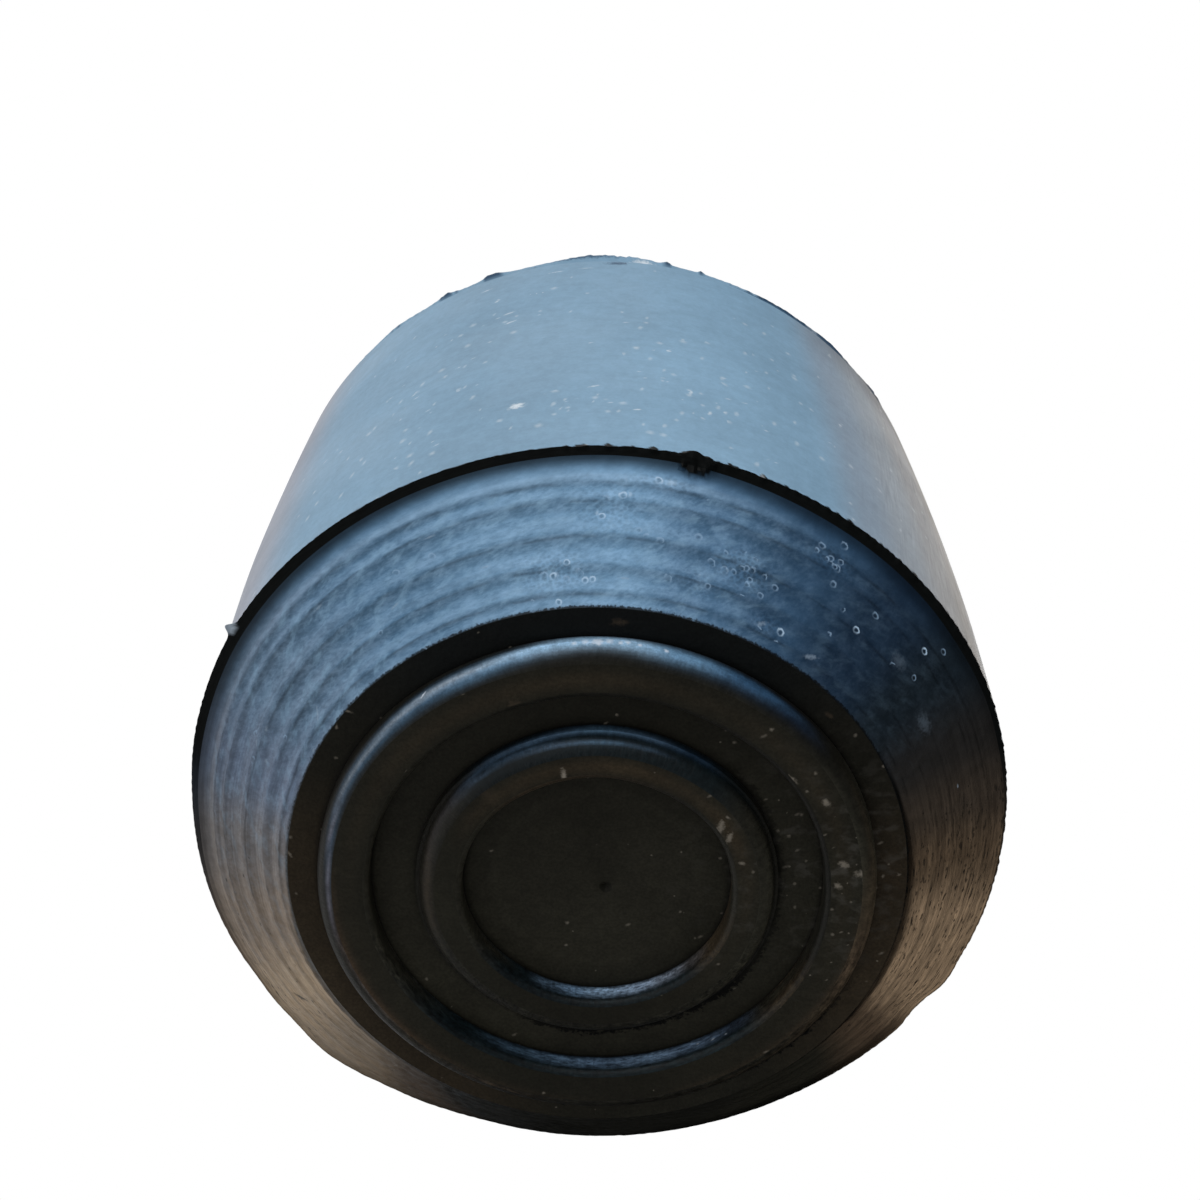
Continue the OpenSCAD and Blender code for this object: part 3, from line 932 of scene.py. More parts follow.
# %% Marks on the sole, the ring and the collar
DUST = srgb(158, 150, 138)
CHALK = srgb(222, 230, 236)
SCUFF_BROWN = srgb(60, 51, 41)
GLINT = srgb(206, 216, 228)
# the far inside wall of the outer ring, measured up from its shoulder
INSIDE_BACK = starts_at("outer crown") - 0.75 - starts_at("outer ring shoulder")
row_of_scuffs = [(-11.0 - 1.1 * k, 25.2 + 0.03 * k, 0.11, 0.09, 15) for k in range(8)]
mark("sole", on_flat, DUST, 0.5, [(-13.8, 6.0, 0.42, 0.13, 77)])
mark("sole", on_flat, DUST, 0.34, [
    (80, 10.3, 0.28, 0.18, 30), (83, 11.0, 0.4, 0.2), (86, 10.0, 0.24, 0.16, 60),
    (62.4, 10.4, 0.26, 0.16, 40), (52.5, 9.75, 0.36, 0.12, 35), (55, 6.1, 0.18, 0.42, 10),
    (61, 6.15, 0.15, 0.34, 15)])
mark("sole", on_flat, DUST, 0.3, [
    (84.5, 11.4, 0.1, 0.1), (39.6, 10.7, 0.12, 0.09), (52.8, 6.6, 0.14, 0.07, 40),
    (73.8, 6.2, 0.16, 0.12, 20), (46.8, 5.8, 0.12, 0.09, 45), (-152, 2.6, 0.1, 0.1),
    (-86, 12.9, 0.22, 0.08, 60), (-52, 12.95, 0.26, 0.07, 20), (-56, 12.9, 0.08, 0.16)])
mark("sole", on_flat, SCUFF_BROWN, 0.5, [
    (-20.7, 9.75, 0.35, 0.28), (48, 12.4, 0.25, 0.14, 40), (3, 12.4, 0.4, 0.18)])
mark("sole", on_flat, SCUFF_BROWN, 0.25, [(-43, 6.6, 0.7, 0.35, 45)])
# painted glints on the far inside wall of the outer ring
mark("wall", on_wall, GLINT, 0.4, [
    (147, INSIDE_BACK, 0.14, 0.07, 30), (151.5, INSIDE_BACK - 0.12, 0.1, 0.05, -20),
    (143, INSIDE_BACK + 0.1, 0.08, 0.06)])
# painted glints on the outer ring's shoulder highlight
mark("wall", on_wall, GLINT, 0.85, [
    (-1.0, 1.04, 0.26, 0.26), (-37.5, 0.78, 0.18, 0.05, 40)])
# bright beads on the shoulder: painted highlights on small blisters
mark("wall", on_wall, srgb(214, 226, 240), 0.9, [
    (-3.3, 1.02, 0.13, 0.18, 10), (-5.6, 0.98, 0.1, 0.14), (1.3, 1.08, 0.13, 0.2, -10),
    (3.5, 1.04, 0.09, 0.15), (4.9, 1.1, 0.11, 0.13, 20), (7.2, 1.02, 0.08, 0.12),
    (12.5, 0.96, 0.09, 0.12)], 0.2)
mark("collar", on_collar, CHALK, 0.85, [(-12.5, 10.6, 0.38, 0.34, 40), (8.7, 17.0, 0.13, 0.12)])
mark("collar", on_collar, NAVY, 0.8, [
    (1.2, 29.3, 0.75, 0.3, 5), (-4.0, 30.2, 2.0, 0.16), (-13.5, 29.9, 0.6, 0.16, 4),
    (13.0, 29.8, 0.6, 0.18, -3), (25, 29.9, 1.3, 0.22), (34, 29.9, 1.5, 0.25), (44, 29.8, 1.8, 0.3),
    (-35, 29.9, 0.9, 0.2)])
# a painted glint on the rim, in chalk white
mark("collar", on_collar, CHALK, 0.8, [(5.4, 29.9, 0.6, 0.28), (3.5, 29.75, 0.3, 0.15)])
mark("collar", on_collar, CHALK, 0.55, row_of_scuffs + [
    (4.0, 9.6, 0.22, 0.08, 20), (-2.0, 12.0, 0.3, 0.08, 25), (11.5, 12.4, 0.1, 0.3, -10),
    (14.0, 10.6, 0.1, 0.25, -12), (-16, 23.0, 0.35, 0.1, 20), (-15.5, 21.6, 0.35, 0.1, 25),
    (-9, 28.3, 0.5, 0.06, 5), (-4, 28.5, 0.4, 0.05), (-21, 27.9, 0.3, 0.08, 10),
    (5.5, 29.2, 0.35, 0.07, -5)])
store("spot", spot)
store("spot_tone", spot_tone)
print(round(100 * (spot_reach < 9).mean(), 2), "% of the corners are near a mark")

# %% Where blisters and scuffs gather
def gather(second, places):
    """The strongest of several lumps at every point. Each has its degrees, its second coordinate,
    its half widths in both and its strength."""
    strongest = np.zeros(len(phi))
    for degrees, middle, half_degrees, half, strength in places:
        away = np.hypot(turn_from(phi, degrees) / half_degrees, (second - middle) / half)
        strongest = np.maximum(strongest, strength * lump(away, 0.8))
    return strongest


BLISTER_CLUSTERS = [
    (-8, 0.25, 5, 0.12, 0.6), (1, 0.65, 5, 0.15, 0.45), (8, 0.85, 4, 0.05, 0.6), (22, 0.43, 4, 0.10, 1.0),
    (16, 0.25, 4, 0.08, 0.4), (29, 0.16, 3, 0.06, 0.7), (34, 0.78, 3, 0.07, 0.9), (44, 0.6, 5, 0.15, 0.12),
    (56, 0.7, 4, 0.15, 0.12), (-35, 0.4, 5, 0.2, 0.12), (-68, 0.45, 3, 0.15, 0.25)]
SCUFFS = [
    (12, 13, 8, 3, 1.0), (20, 12, 5, 5, 0.8), (0, 9, 10, 2, 0.9), (-26, 14, 7, 5, 0.7),
    (-15, 22, 12, 3, 0.5), (5, 17, 6, 3, 0.4), (26, 20, 5, 4, 0.5), (-40, 12, 8, 4, 0.4),
    (38, 13, 6, 5, 0.4)]
FEW = 0.03

store("blistered", gather(t, BLISTER_CLUSTERS) * bevel)
store("scuffed", np.maximum(gather(z, SCUFFS), FEW))
store("dusty", lump(np.hypot(x - 9.5, y + 1.0), 3.2))
print("blisters at", len(BLISTER_CLUSTERS), "places on the bevel, scuffs at", len(SCUFFS), "on the collar")

# %% How strongly other wear, a painted highlight and a painted shade show round the axis
WEAR_ROUND = {
    "pitted": {-150: 0.1, -125: 0.4, -105: 0.2, -88: 0.0, 72: 0.0, 86: 0.8, 95: 1.0, 120: 0.9, 135: 0.3,
               150: 0.0},
    # the pale painted highlight on the mottle at the front of the bevel
    "front_sheen": {-180: 0.0, -130: 0.1, -100: 0.3, -75: 0.6, -50: 1.0, 10: 1.0, 22: 0.6, 34: 0.2, 55: 0.08,
                72: 0.0},
    "lined": {-180: 0.3, -150: 0.6, -125: 1.0, -85: 1.0, -60: 0.5, -30: 0.25, 0: 0.15, 40: 0.1, 62: 0.3,
              80: 1.0, 125: 1.0, 150: 0.4},
    # the ragged painted shade at the feet of the far walls
    "far_foot_shade": {-165: 0.9, -150: 0.5, -138: 0.2, -120: 0.0, 35: 0.0, 50: 0.45, 90: 0.4, 105: 0.5, 120: 0.7,
               136: 1.0, 180: 1.0},
    "scratched": {-95: 0.12, -70: 0.05, 0: 0.0, 34: 0.02, 48: 0.25, 62: 0.55, 72: 0.3, 95: 0.22,
                  130: 0.15, 180: 0.12},
}
shown = {name: round_values(phi, stops) for name, stops in WEAR_ROUND.items()}
shown["front_sheen"][bevel] *= 1 - smooth(t, 0.80, 0.97)[bevel]
shown["front_sheen"][ledge | collar_foot] = 0
shown["scratched"] *= s < starts_at("rim edge")
for name, strength in shown.items():
    store(name, strength)
print("wear stored for the materials:", ", ".join(shown))

# %% [markdown]
# ## The materials
#
# Every finish is the same rubber with different wear, so a material starts from the painted
# tone, with its painted light and shade, and adds kinds of wear to it one after the other,
# and some painted highlights and shade besides. Each kind is a pattern of noise or of
# scattered cells that changes the colour and the height of the surface together.

# %% A tree of nodes, with short calls
class Tree:
    """The nodes of a material or of the world, with short calls for those that this scene needs."""

    def __init__(self, owner):
        owner.use_nodes = True
        self.owner = owner
        self.nodes = owner.node_tree.nodes
        self.links = owner.node_tree.links

    def put(self, socket, value):
        """Links a socket to another one, or gives it a value of its own."""
        if isinstance(value, bpy.types.NodeSocket):
            self.links.new(value, socket)
        else:
            socket.default_value = value

    def node(self, kind, inputs, output=0, **settings):
        """A new node with its settings and inputs, and one of its outputs."""
        node = self.nodes.new("ShaderNode" + kind)
        for name, setting in settings.items():
            setattr(node, name, setting)
        for key, value in inputs.items():
            self.put(node.inputs[key], value)
        return node.outputs[output]

    def stored(self, name, kind="Vector"):
        """A Vector, Color, Alpha or Fac stored on the mesh."""
        return self.node("Attribute", {}, kind, attribute_name=name)

    def maths(self, operation, *values):
        """A sum with up to three numbers. MULTIPLY_ADD is the first times the second, and then
        the third is added."""
        return self.node("Math", dict(enumerate(values)), operation=operation)

    def apart(self, a, b):
        """How far two numbers are apart."""
        return self.maths("ABSOLUTE", self.maths("SUBTRACT", a, b))

    def both(self, *masks):
        """Masks multiplied together."""
        total = masks[0]
        for mask in masks[1:]:
            total = self.maths("MULTIPLY", total, mask)
        return total

    def part(self, vector, way):
        """The part of a vector that goes one way: x wx + y wy + z wz."""
        return self.node("VectorMath", {0: vector, 1: way}, 1, operation="DOT_PRODUCT")

    def flat_length(self, vector):
        """The length of a vector seen along its third axis: the root of x x + y y."""
        flat = self.node("VectorMath", {0: vector, 1: (1, 1, 0)}, operation="MULTIPLY")
        return self.node("VectorMath", {0: flat}, 1, operation="LENGTH")

    def ramp(self, value, low, high, to_low=0.0, to_high=1.0):
        """A smooth slope from to_low to to_high as the value goes from low to high."""
        ends = dict(enumerate((value, low, high, to_low, to_high)))
        return self.node("MapRange", ends, interpolation_type="SMOOTHSTEP")

    def laid(self, vector, steps, turn=0.0):
        """A vector in steps of some sizes, along axes turned by some degrees. One size is for all
        three axes, and two are for places that lie in the surface."""
        sizes = (*steps, 1.0)[:3] if isinstance(steps, tuple) else (steps,) * 3
        axes = {"Vector": vector, "Rotation": (0, 0, math.radians(turn)), "Scale": sizes}
        return self.node("Mapping", axes, vector_type="TEXTURE")

    def noise(self, vector, steps, detail=3.0, rough=0.6, turn=0.0):
        """Noise with lumps about one step across, from 0 to 1 and mostly between 0.3 and 0.7."""
        lumps = {"Vector": self.laid(vector, steps, turn), "Scale": 1.0, "Detail": detail,
                 "Roughness": rough}
        return self.node("TexNoise", lumps, "Fac")

    def grain(self, *noise, **turned):
        """Noise stretched so that it runs from -1 to 1."""
        return self.ramp(self.noise(*noise, **turned), 0.25, 0.75, -1.0, 1.0)

    def cells(self, vector):
        """The nearest of many points scattered in a flat, one a square step: the way from it,
        the distance from it, and two random values that belong to it."""
        scattered = {"Vector": vector, "Scale": 1.0}
        nearest = self.node("TexVoronoi", scattered, "Position", voronoi_dimensions="2D")
        found = nearest.node.outputs
        away = self.node("VectorMath", {0: vector, 1: nearest}, operation="SUBTRACT")
        red = self.node("SeparateColor", {0: found["Color"]})
        return away, found["Distance"], red, red.node.outputs[1]


# %% Rubber, as a colour and a height that wear is added to
TO_LIGHT = (0.5, 0.85, 0)
FRAY_STEP = 0.16


class Rubber(Tree):
    """One finish of the rubber. Heights are in millimetres."""

    def __init__(self, name):
        super().__init__(bpy.data.materials.new(name))
        self.object = self.laid(self.node("TexCoord", {}, "Object"), MM)
        self.skin, self.turned = self.stored("skin"), self.stored("turned")
        self.colour = self.stored("tone", "Color")
        self.height = 0.0
        self.fray = self.grain(self.skin, (FRAY_STEP, FRAY_STEP))

    def vary(self, pattern, amount, lift=0.0):
        """Makes the colour lighter and darker by a share, and the surface higher and lower."""
        share = self.maths("MULTIPLY_ADD", pattern, amount, 1.0)
        self.colour = self.node("VectorMath", {0: self.colour, "Scale": share}, operation="SCALE")
        self.height = self.maths("MULTIPLY_ADD", pattern, lift, self.height)

    def cover(self, mask, colour, share=1.0, lift=0.0):
        """Mixes a share of another colour in where a mask is 1."""
        if not isinstance(colour, bpy.types.NodeSocket):
            colour = (*map(float, colour), 1.0)
        mix = {0: self.maths("MULTIPLY", mask, share), 6: self.colour, 7: colour}
        self.colour = self.node("Mix", mix, 2, data_type="RGBA")
        self.height = self.maths("MULTIPLY_ADD", mask, lift, self.height)

    def spots(self):
        """Draws the single marks: a ragged patch, or a ring round a darker middle. A ring is a painted
        highlight, brighter on the side towards the light, and its darker middle is painted shade.
        """
        stored = self.stored("spot")
        ringed = self.part(stored, (0, 0, 1))
        raggedness = self.maths("MULTIPLY_ADD", ringed, -0.18, 0.34)
        length = self.maths("MULTIPLY_ADD", self.fray, raggedness, self.flat_length(stored))
        side = self.ramp(self.part(stored, TO_LIGHT), -0.9, 0.7, 0.25, 1.0)
        ring = self.both(self.ramp(self.apart(length, 0.90), 0.45, 0.0), side)
        patch = self.ramp(length, 1.2, 0.1)
        self.vary(self.both(self.ramp(length, 0.75, 0.2), ringed), -0.25, 0.008)
        drawn = self.maths("MULTIPLY_ADD", self.maths("SUBTRACT", ring, patch), ringed, patch)
        self.cover(drawn, self.stored("spot_tone", "Color"), self.stored("spot_tone", "Alpha"), 0.004)

    def dots(self, step, turn, chance, small, large, colour, share=1.0, lift=0.0, core=0.5):
        """Scatters dots of one colour: one cell a step, filled with a chance from 0 to 1.
        The core is the part of a dot's radius that has its full colour."""
        _, distance, pick, size = self.cells(self.laid(self.skin, step, turn))
        radius = self.ramp(size, 0.0, 1.0, small, large)
        frayed = self.maths("MULTIPLY_ADD", self.fray, 0.06, distance)
        dot = self.ramp(frayed, radius, self.maths("MULTIPLY", radius, core))
        self.cover(self.both(dot, self.maths("LESS_THAN", pick, chance)), colour, share, lift)

    def done(self, gloss, rough):
        """Joins the colour and the height to the shader."""
        shader = self.nodes["Principled BSDF"].inputs
        clouds = self.noise(self.object, 6, rough=0.5)
        self.put(shader["Base Color"], self.colour)
        self.put(shader["Roughness"], self.ramp(clouds, 0.25, 0.75, rough - 0.06, rough + 0.06))
        shader["Specular IOR Level"].default_value = gloss
        self.put(shader["Normal"], self.node("Bump", {"Distance": MM, "Height": self.height}))
        return self.owner


# %% Sole
def ragged_painted_shade(rubber):
    """Ragged painted black shade where a ring's wall meets the flat beside it, right and far side, in a
    slight hollow.
    """
    along = rubber.maths("MULTIPLY_ADD", rubber.fray, 0.14, rubber.part(rubber.turned, (0, 0, 1)))
    far_foot_shade = rubber.stored("far_foot_shade", "Fac")
    broken = rubber.noise(rubber.skin, (0.9, 0.35))
    far_part = rubber.ramp(far_foot_shade, 0.45, 0.9)
    shift = rubber.maths("MULTIPLY_ADD", rubber.maths("SUBTRACT", broken, 0.5), 0.9, along)
    inner_end = rubber.maths("MULTIPLY_ADD", far_part, 0.26, starts_at("groove") + 0.26)
    inner_start = starts_at("inner ring shoulder") + 0.66
    outer_start = starts_at("outer ring shoulder") + 0.50
    outer_end = starts_at("land") + 0.42
    for start, end, share in ((inner_start, inner_end, far_foot_shade), (outer_start, outer_end, far_part)):
        before = rubber.ramp(rubber.maths("SUBTRACT", along, start), -0.08, 0.08)
        after = rubber.ramp(rubber.maths("SUBTRACT", shift, end), 0.08, -0.08)
        rubber.cover(rubber.both(before, after, share), DEEP * 0.2, 0.95, -0.02)


RUBBED_R = 4.3
sole = Rubber("worn_sole_rubber")
sole.vary(sole.grain(sole.object, 3, rough=0.5), 0.12)
sole.vary(sole.grain(sole.object, 0.14), 0.22, 0.003)
sole.vary(sole.grain(sole.object, 0.5, 2.0, 0.5), 0.10, 0.004)
sole.vary(sole.ramp(sole.apart(sole.flat_length(sole.object), RUBBED_R), 0.35, 0.0), 0.12)
dusty = sole.stored("dusty", "Fac")
sole.dots((0.55, 0.55), 20, sole.maths("MULTIPLY_ADD", dusty, 0.20, 0.02), 0.08, 0.22, DUST, 0.24, 0.0, 0.0)
sole.dots((0.8, 0.4), -30, sole.maths("MULTIPLY_ADD", dusty, 0.12, 0.01), 0.08, 0.26, DUST, 0.20, 0.0, 0.0)
dust_cloud = sole.ramp(sole.noise(sole.object, (0.9, 0.6)), 0.48, 0.7)
sole.cover(sole.both(dust_cloud, dusty), srgb(70, 68, 64), 0.45)
sole.spots()
ragged_painted_shade(sole)

# %% Walls of the rings
wall = Rubber("ring_wall_rubber")
wall.vary(wall.grain(wall.skin, (0.22, 0.6), 3.0, 0.65), 0.17, 0.006)
wall.vary(wall.grain(wall.skin, (0.6, 0.3)), 0.22, 0.004)
wall.vary(wall.grain(wall.object, 0.1, 2.0), 0.16, 0.002)
far_side = wall.ramp(wall.part(wall.object, (0, 1, 0)), 1, 4)
wall.vary(wall.both(wall.grain(wall.skin, (0.45, 0.13), 4.0, 0.65), far_side), 0.75, 0.004)
wall.vary(wall.both(wall.grain(wall.skin, (1.2, 0.5)), far_side), 0.35)
wall.spots()
ragged_painted_shade(wall)

# %% Ledge
cut = Rubber("cut_ledge_rubber")
cut.vary(cut.grain(cut.skin, (0.7, 0.12), rough=0.5), 0.2, 0.003)

# %% [markdown]
# ## The bevel's finish
#
# The bevel has a grain that runs one way, as if a cloth had been drawn over it, pale with a
# painted highlight at the front, and thin dark lines of painted shade where one turned hollow
# meets the next. Small blisters were left in its skin: each is a ring, brighter on the side that
# faces the light. On the brown right side the surface has cracked into short crevices instead,
# painted black inside as painted shade.

# %% Bevel: grain and mottle
PALE_HIGHLIGHT = srgb(150, 172, 194)
FLAKE_BLUE = srgb(142, 178, 206)
WIPED = -28
slope = Rubber("bevel_rubber_with_painted_light")
front_sheen = slope.stored("front_sheen", "Fac")
slope.vary(slope.grain(slope.object, 5, rough=0.5), 0.06)
mottled = slope.grain(slope.object, (0.95, 0.60, 0.60), 4.0, 0.62, WIPED)
slope.vary(mottled, 0.13, 0.010)
wiped = slope.grain(slope.object, (0.45, 0.15, 0.15), turn=WIPED)
slope.vary(slope.both(wiped, front_sheen), 0.15, 0.005)
# the mottle and flakes are the bevel's own grain; their pale blue at the front is a painted highlight
pale_parts = slope.ramp(slope.maths("MULTIPLY_ADD", wiped, 0.8, mottled), -1.2, 2.2)
slope.cover(slope.both(pale_parts, front_sheen), PALE_HIGHLIGHT, 0.22, 0.004)
flakes = slope.ramp(slope.noise(slope.skin, (1.1, 0.5), 4.0, turn=24), 0.46, 0.72)
slope.cover(slope.both(flakes, front_sheen), FLAKE_BLUE, 0.34, 0.006)

# %% Bevel: turning lines
rings_turned = slope.grain(slope.turned, (9, 9, 0.17))
slope.vary(slope.both(rings_turned, slope.stored("lined", "Fac")), 0.22, 0.003)
# the dark lines where one hollow meets the next are painted shade
along = slope.part(slope.skin, (0, 1, 0))
travel = slope.maths("MULTIPLY_ADD", slope.noise(slope.skin, (2.2, 1.0)), 0.20, along)
line = 0.0
for share in BEVEL_CUTS[1:-1]:
    off = slope.apart(travel, starts_at("bevel") + share * BEVEL_LONG + 0.10)
    line = slope.maths("MAXIMUM", line, slope.ramp(off, 0.12, 0.0))
broken = slope.ramp(slope.noise(slope.skin, (1.5, 0.6), 2.0, 0.5), 0.42, 0.6)
slope.vary(slope.both(line, broken), -0.32, -0.004)
foot_way = slope.maths("MULTIPLY_ADD", slope.fray, 0.09, along)
fringe = slope.ramp(slope.maths("SUBTRACT", foot_way, starts_at("bevel")), 0.14, 0.04)
slope.cover(fringe, DEEP, 0.85)

# %% Bevel: blisters
BLISTER_STEP = 0.55
RING_WIDE = 0.11
blistered = slope.stored("blistered", "Fac")
away, distance, pick, size = slope.cells(slope.laid(slope.skin, (BLISTER_STEP, BLISTER_STEP)))
radius = slope.ramp(size, 0.0, 1.0, 0.15, 0.30)
distance = slope.maths("MULTIPLY_ADD", slope.fray, 0.06, distance)
filled = slope.maths("LESS_THAN", pick, slope.both(blistered, 0.8))
# each blister's ring is a painted highlight on its rim, lit on the side towards the light, and its middle
# is painted darker as painted shade
ring = slope.ramp(slope.apart(distance, radius), RING_WIDE, 0.0)
lit = slope.ramp(slope.maths("DIVIDE", slope.part(away, TO_LIGHT), radius), -0.8, 0.9, 0.1, 1.0)
slope.vary(slope.both(slope.ramp(distance, radius, 0.0), filled), -0.20, 0.012)
slope.cover(slope.both(ring, filled, lit), DIM_BLISTER, 0.55)
_, crowd, _, _ = slope.cells(slope.laid(slope.skin, (0.20, 0.17)))
slope.vary(slope.both(slope.ramp(crowd, 0.15, 0.65, -1.0, 1.0), blistered), 0.26, 0.008)
slope.spots()

# %% Bevel: crevices on the brown right side
pitted = slope.stored("pitted", "Fac")
slope.vary(slope.both(slope.grain(slope.skin, (1.5, 0.11), 4.0, 0.65), pitted), 0.42, 0.010)
# the cracks and pits are dented and painted black inside: painted shade
cracks = slope.ramp(slope.noise(slope.skin, (0.75, 0.17)), 0.43, 0.34)
slope.cover(slope.both(cracks, pitted), DEEP, 0.8, -0.025)
rows_of_pits = slope.ramp(slope.noise(slope.turned, (30, 30, 0.3), 0.0, 0.5), 0.48, 0.6)
slope.dots((0.42, 0.22), 0, slope.both(pitted, rows_of_pits, 0.6), 0.15, 0.34, DEEP, 0.6, -0.012)

# %% [markdown]
# ## The collar's finish
#
# The collar is smooth and bloomed, and its paint carries painted reflections at its sides and
# painted shade on its right. What breaks it are chalk-white dashes, all drawn in the same
# direction, a few round specks beside them, one larger scuff above the lip, and long faint
# scratches on its right.

# %% Collar
coat = Rubber("collar_rubber_with_bloom_and_painted_light")
coat.vary(coat.grain(coat.object, 5, rough=0.5), 0.06)
coat.vary(coat.grain(coat.object, (0.5, 0.5, 0.7)), 0.05, 0.002)
coat.vary(coat.grain(coat.object, (0.9, 0.9, 0.5), 4.0, 0.7), 0.04, 0.0012)
coat.vary(coat.grain(coat.skin, (3.5, 0.25), 2.0, 0.5, 2), 0.012, 0.0006)
coat.vary(coat.grain(coat.object, 0.15, 2.0), 0.03, 0.0008)
scuffed = coat.stored("scuffed", "Fac")
coat.dots((0.8, 0.35), 20, coat.both(scuffed, 0.08), 0.12, 0.28, CHALK, 0.40, 0.003, 0.0)
coat.dots((0.40, 0.90), -12, coat.both(scuffed, 0.18), 0.20, 0.44, CHALK, 0.30, 0.003, 0.0)
coat.dots((0.55, 0.70), 0, coat.both(scuffed, 0.20), 0.24, 0.48, CHALK, 0.30, 0.003, 0.0)
scratches = coat.grain(coat.skin, (0.14, 3.0), turn=-6)
lengthy = coat.ramp(coat.noise(coat.skin, (0.6, 5.0), 2.0, 0.5, -6), 0.35, 0.6)
coat.vary(coat.both(scratches, lengthy, coat.stored("scratched", "Fac")), 0.70, 0.003)
coat.spots()

# %% Socket
tube = Rubber("socket_rubber")
tube.vary(tube.grain(tube.skin, (0.3, 7.0)), 0.25, 0.006)
tube.vary(tube.grain(tube.object, 2, rough=0.5), 0.15)

# %% Every face gets its finish
# each finish has its rubber, how much it reflects and how rough it is
finishes = {"sole": (sole, 0.08, 0.6), "wall": (wall, 0.15, 0.5), "bevel": (slope, 0.08, 0.5),
            "ledge": (cut, 0.04, 0.7), "collar": (coat, 0.15, 0.5), "socket": (tube, 0.15, 0.6)}
for rubber, gloss, rough in finishes.values():
    mesh.materials.append(rubber.done(gloss, rough))
finish_of = np.array([list(finishes).index(z[4]) for z in zones])
mesh.polygons.foreach_set("material_index", finish_of[face_zone].astype(np.int32))

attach(tip, "root")
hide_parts("rubber_tip")
print("materials:", [m.name for m in mesh.materials])

# %% [markdown]
# ## Floor, light and camera
#
# The tip stands on its sole, and it is looked at from below the ground, so the floor has only
# one side: from above it is a pale floor with the tip's shadow, and from below it isn't there.
# A soft window low in front lights the collar, the bevel and the near walls of the rings. A
# fill on the right reaches the brown right side, and one from above and behind keeps the far side readable.

# %% One-sided floor
def studio_piece(name, points, faces, finish, grey, rough, gloss, unseen_by):
    """A mesh that isn't part of the tip, in one grey finish, unseen by some kinds of ray. It
    returns the piece and the tree of its material."""
    surface = bpy.data.meshes.new(name)
    surface.from_pydata(points, [], faces)
    piece = add(name, surface)
    for ray in unseen_by:
        setattr(piece, "visible_" + ray, False)
    coat = Tree(bpy.data.materials.new(finish))
    shader = coat.nodes["Principled BSDF"].inputs
    shader["Base Color"].default_value = (grey, grey, grey, 1)
    shader["Roughness"].default_value = rough
    shader["Specular IOR Level"].default_value = gloss
    surface.materials.append(coat.owner)
    return piece, coat


FLOOR_HALF = 1.5
FLOOR_AT = -0.00006
quarters = ((-1, -1), (1, -1), (1, 1), (-1, 1))
floor_corners = [(FLOOR_HALF * i, FLOOR_HALF * j, FLOOR_AT) for i, j in quarters]
floor, ground = studio_piece("floor", floor_corners, [(0, 1, 2, 3)], "pale_floor", 0.88, 0.7, 0.1,
                             ("diffuse", "glossy", "transmission", "volume_scatter", "shadow"))
sides = {0: ground.node("NewGeometry", {}, "Backfacing"),
         1: ground.nodes["Principled BSDF"].outputs[0],
         2: ground.node("BsdfTransparent", {})}
ground.put(ground.nodes["Material Output"].inputs[0], ground.node("MixShader", sides))

# %% World: grey light, white where it is looked at
WHITE = (1, 1, 1, 1)
AMBIENT = 0.55
studio = bpy.data.worlds.new("studio")
bpy.context.scene.world = studio
room = Tree(studio)
light = room.nodes["Background"]
light.inputs["Color"].default_value = WHITE
light.inputs["Strength"].default_value = AMBIENT
ray = room.node("LightPath", {}, "Is Camera Ray").node.outputs
seen = room.maths("MAXIMUM", ray["Is Camera Ray"], ray["Is Glossy Ray"])
seen = room.maths("MAXIMUM", seen, ray["Is Transmission Ray"])
white = room.node("Background", {"Color": WHITE, "Strength": 1.0})
either = room.node("MixShader", {0: seen, 1: light.outputs[0], 2: white})
room.put(room.nodes["World Output"].inputs[0], either)


# %% Lamps
def lamp(name, direction, distance, size, share):
    """A soft lamp aimed at the tip. Its share is the part of a surface's own colour that it
    shows on a face turned straight towards it: power = share * pi^2 * distance^2."""
    data = bpy.data.lights.new(name, "AREA")
    data.shape = "DISK"
    data.size = size
    data.energy = share * math.pi ** 2 * distance ** 2
    lamp_object = add(name, data)
    way = Vector(direction).normalized()
    lamp_object.location = (cad_low + cad_high) / 2 + way * distance
    lamp_object.rotation_mode = "QUATERNION"
    lamp_object.rotation_quaternion = way.to_track_quat("Z", "Y")
    return lamp_object


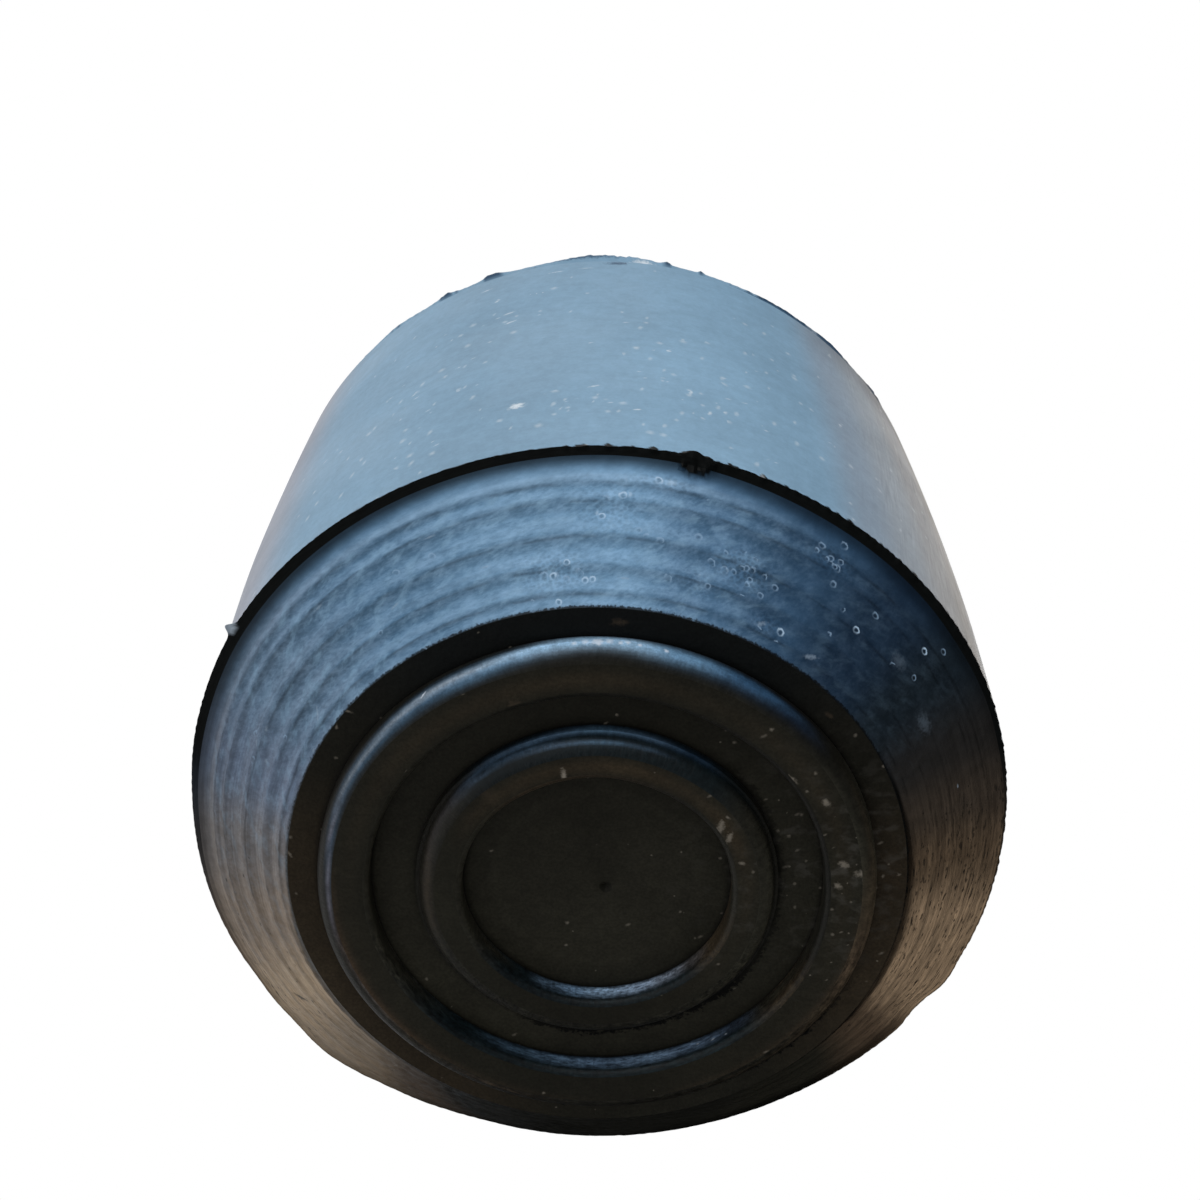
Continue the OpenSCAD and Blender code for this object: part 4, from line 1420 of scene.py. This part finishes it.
lamp("front window", (-0.25, -1.0, -0.22), 0.30, 0.16, 0.42)
lamp("side fill", (1.0, 0.3, -0.35), 0.35, 0.25, 0.36).visible_glossy = False
lamp("top fill", (0.3, 0.5, 1.0), 0.35, 0.25, 0.30)

# %% [markdown]
# Black rubber shows whatever it reflects. As a photographer would, a curved black board stands
# round the tip from its right to its back, where only reflections can see it. It keeps the sole
# and the far side of the bevel black.

# %% Black board for the reflections
BOARD_R = 0.6
BOARD_FROM = 28
BOARD_TO = 200
across, rise = np.meshgrid(np.radians(np.linspace(BOARD_FROM, BOARD_TO, 25)),
                           np.radians(np.linspace(-89, 89, 13)))
board_points = BOARD_R * np.stack([np.sin(across) * np.cos(rise), -np.cos(across) * np.cos(rise),
                                   np.sin(rise)], 2).reshape(-1, 3)
cell = np.arange(12)[:, None] * 25 + np.arange(24)
board_faces = np.stack([cell, cell + 1, cell + 26, cell + 25], 2).reshape(-1, 4)
board, _ = studio_piece("black_board", board_points.tolist(), board_faces.tolist(), "black_card",
                        0.005, 0.9, 0.0,
                        ("camera", "diffuse", "transmission", "volume_scatter", "shadow"))
print("black board of", len(board_faces), "faces,", BOARD_R, "m from the tip")

# %% Camera
CAMERA_HEIGHT = 54.53
CAMERA_FAR = 101.38
AIM = Vector((-0.18, 0.0, 25.37)) * MM
ROLL = 1.25
LENS = 72
below = math.radians(CAMERA_HEIGHT)
eye = Vector((0, -CAMERA_FAR * math.cos(below), RING_H - CAMERA_FAR * math.sin(below))) * MM
back = (eye - AIM).normalized()
up = Vector((0, -1, 0))
up = (up - back * up.dot(back)).normalized()
roll = Matrix.Rotation(math.radians(ROLL), 3, back)
axes = Matrix((roll @ up.cross(back), roll @ up, back)).transposed()
camera_data = bpy.data.cameras.new("camera")
camera_data.lens = LENS
camera_data.sensor_width = 36
camera_data.clip_start = 0.005
camera_data.clip_end = 10
camera = add("camera", camera_data)
camera.matrix_world = Matrix.Translation(eye) @ axes.to_4x4()
bpy.context.scene.camera = camera
bpy.context.scene.view_settings.view_transform = "Standard"
print("camera axes", [[round(v, 4) for v in row] for row in camera.matrix_world])
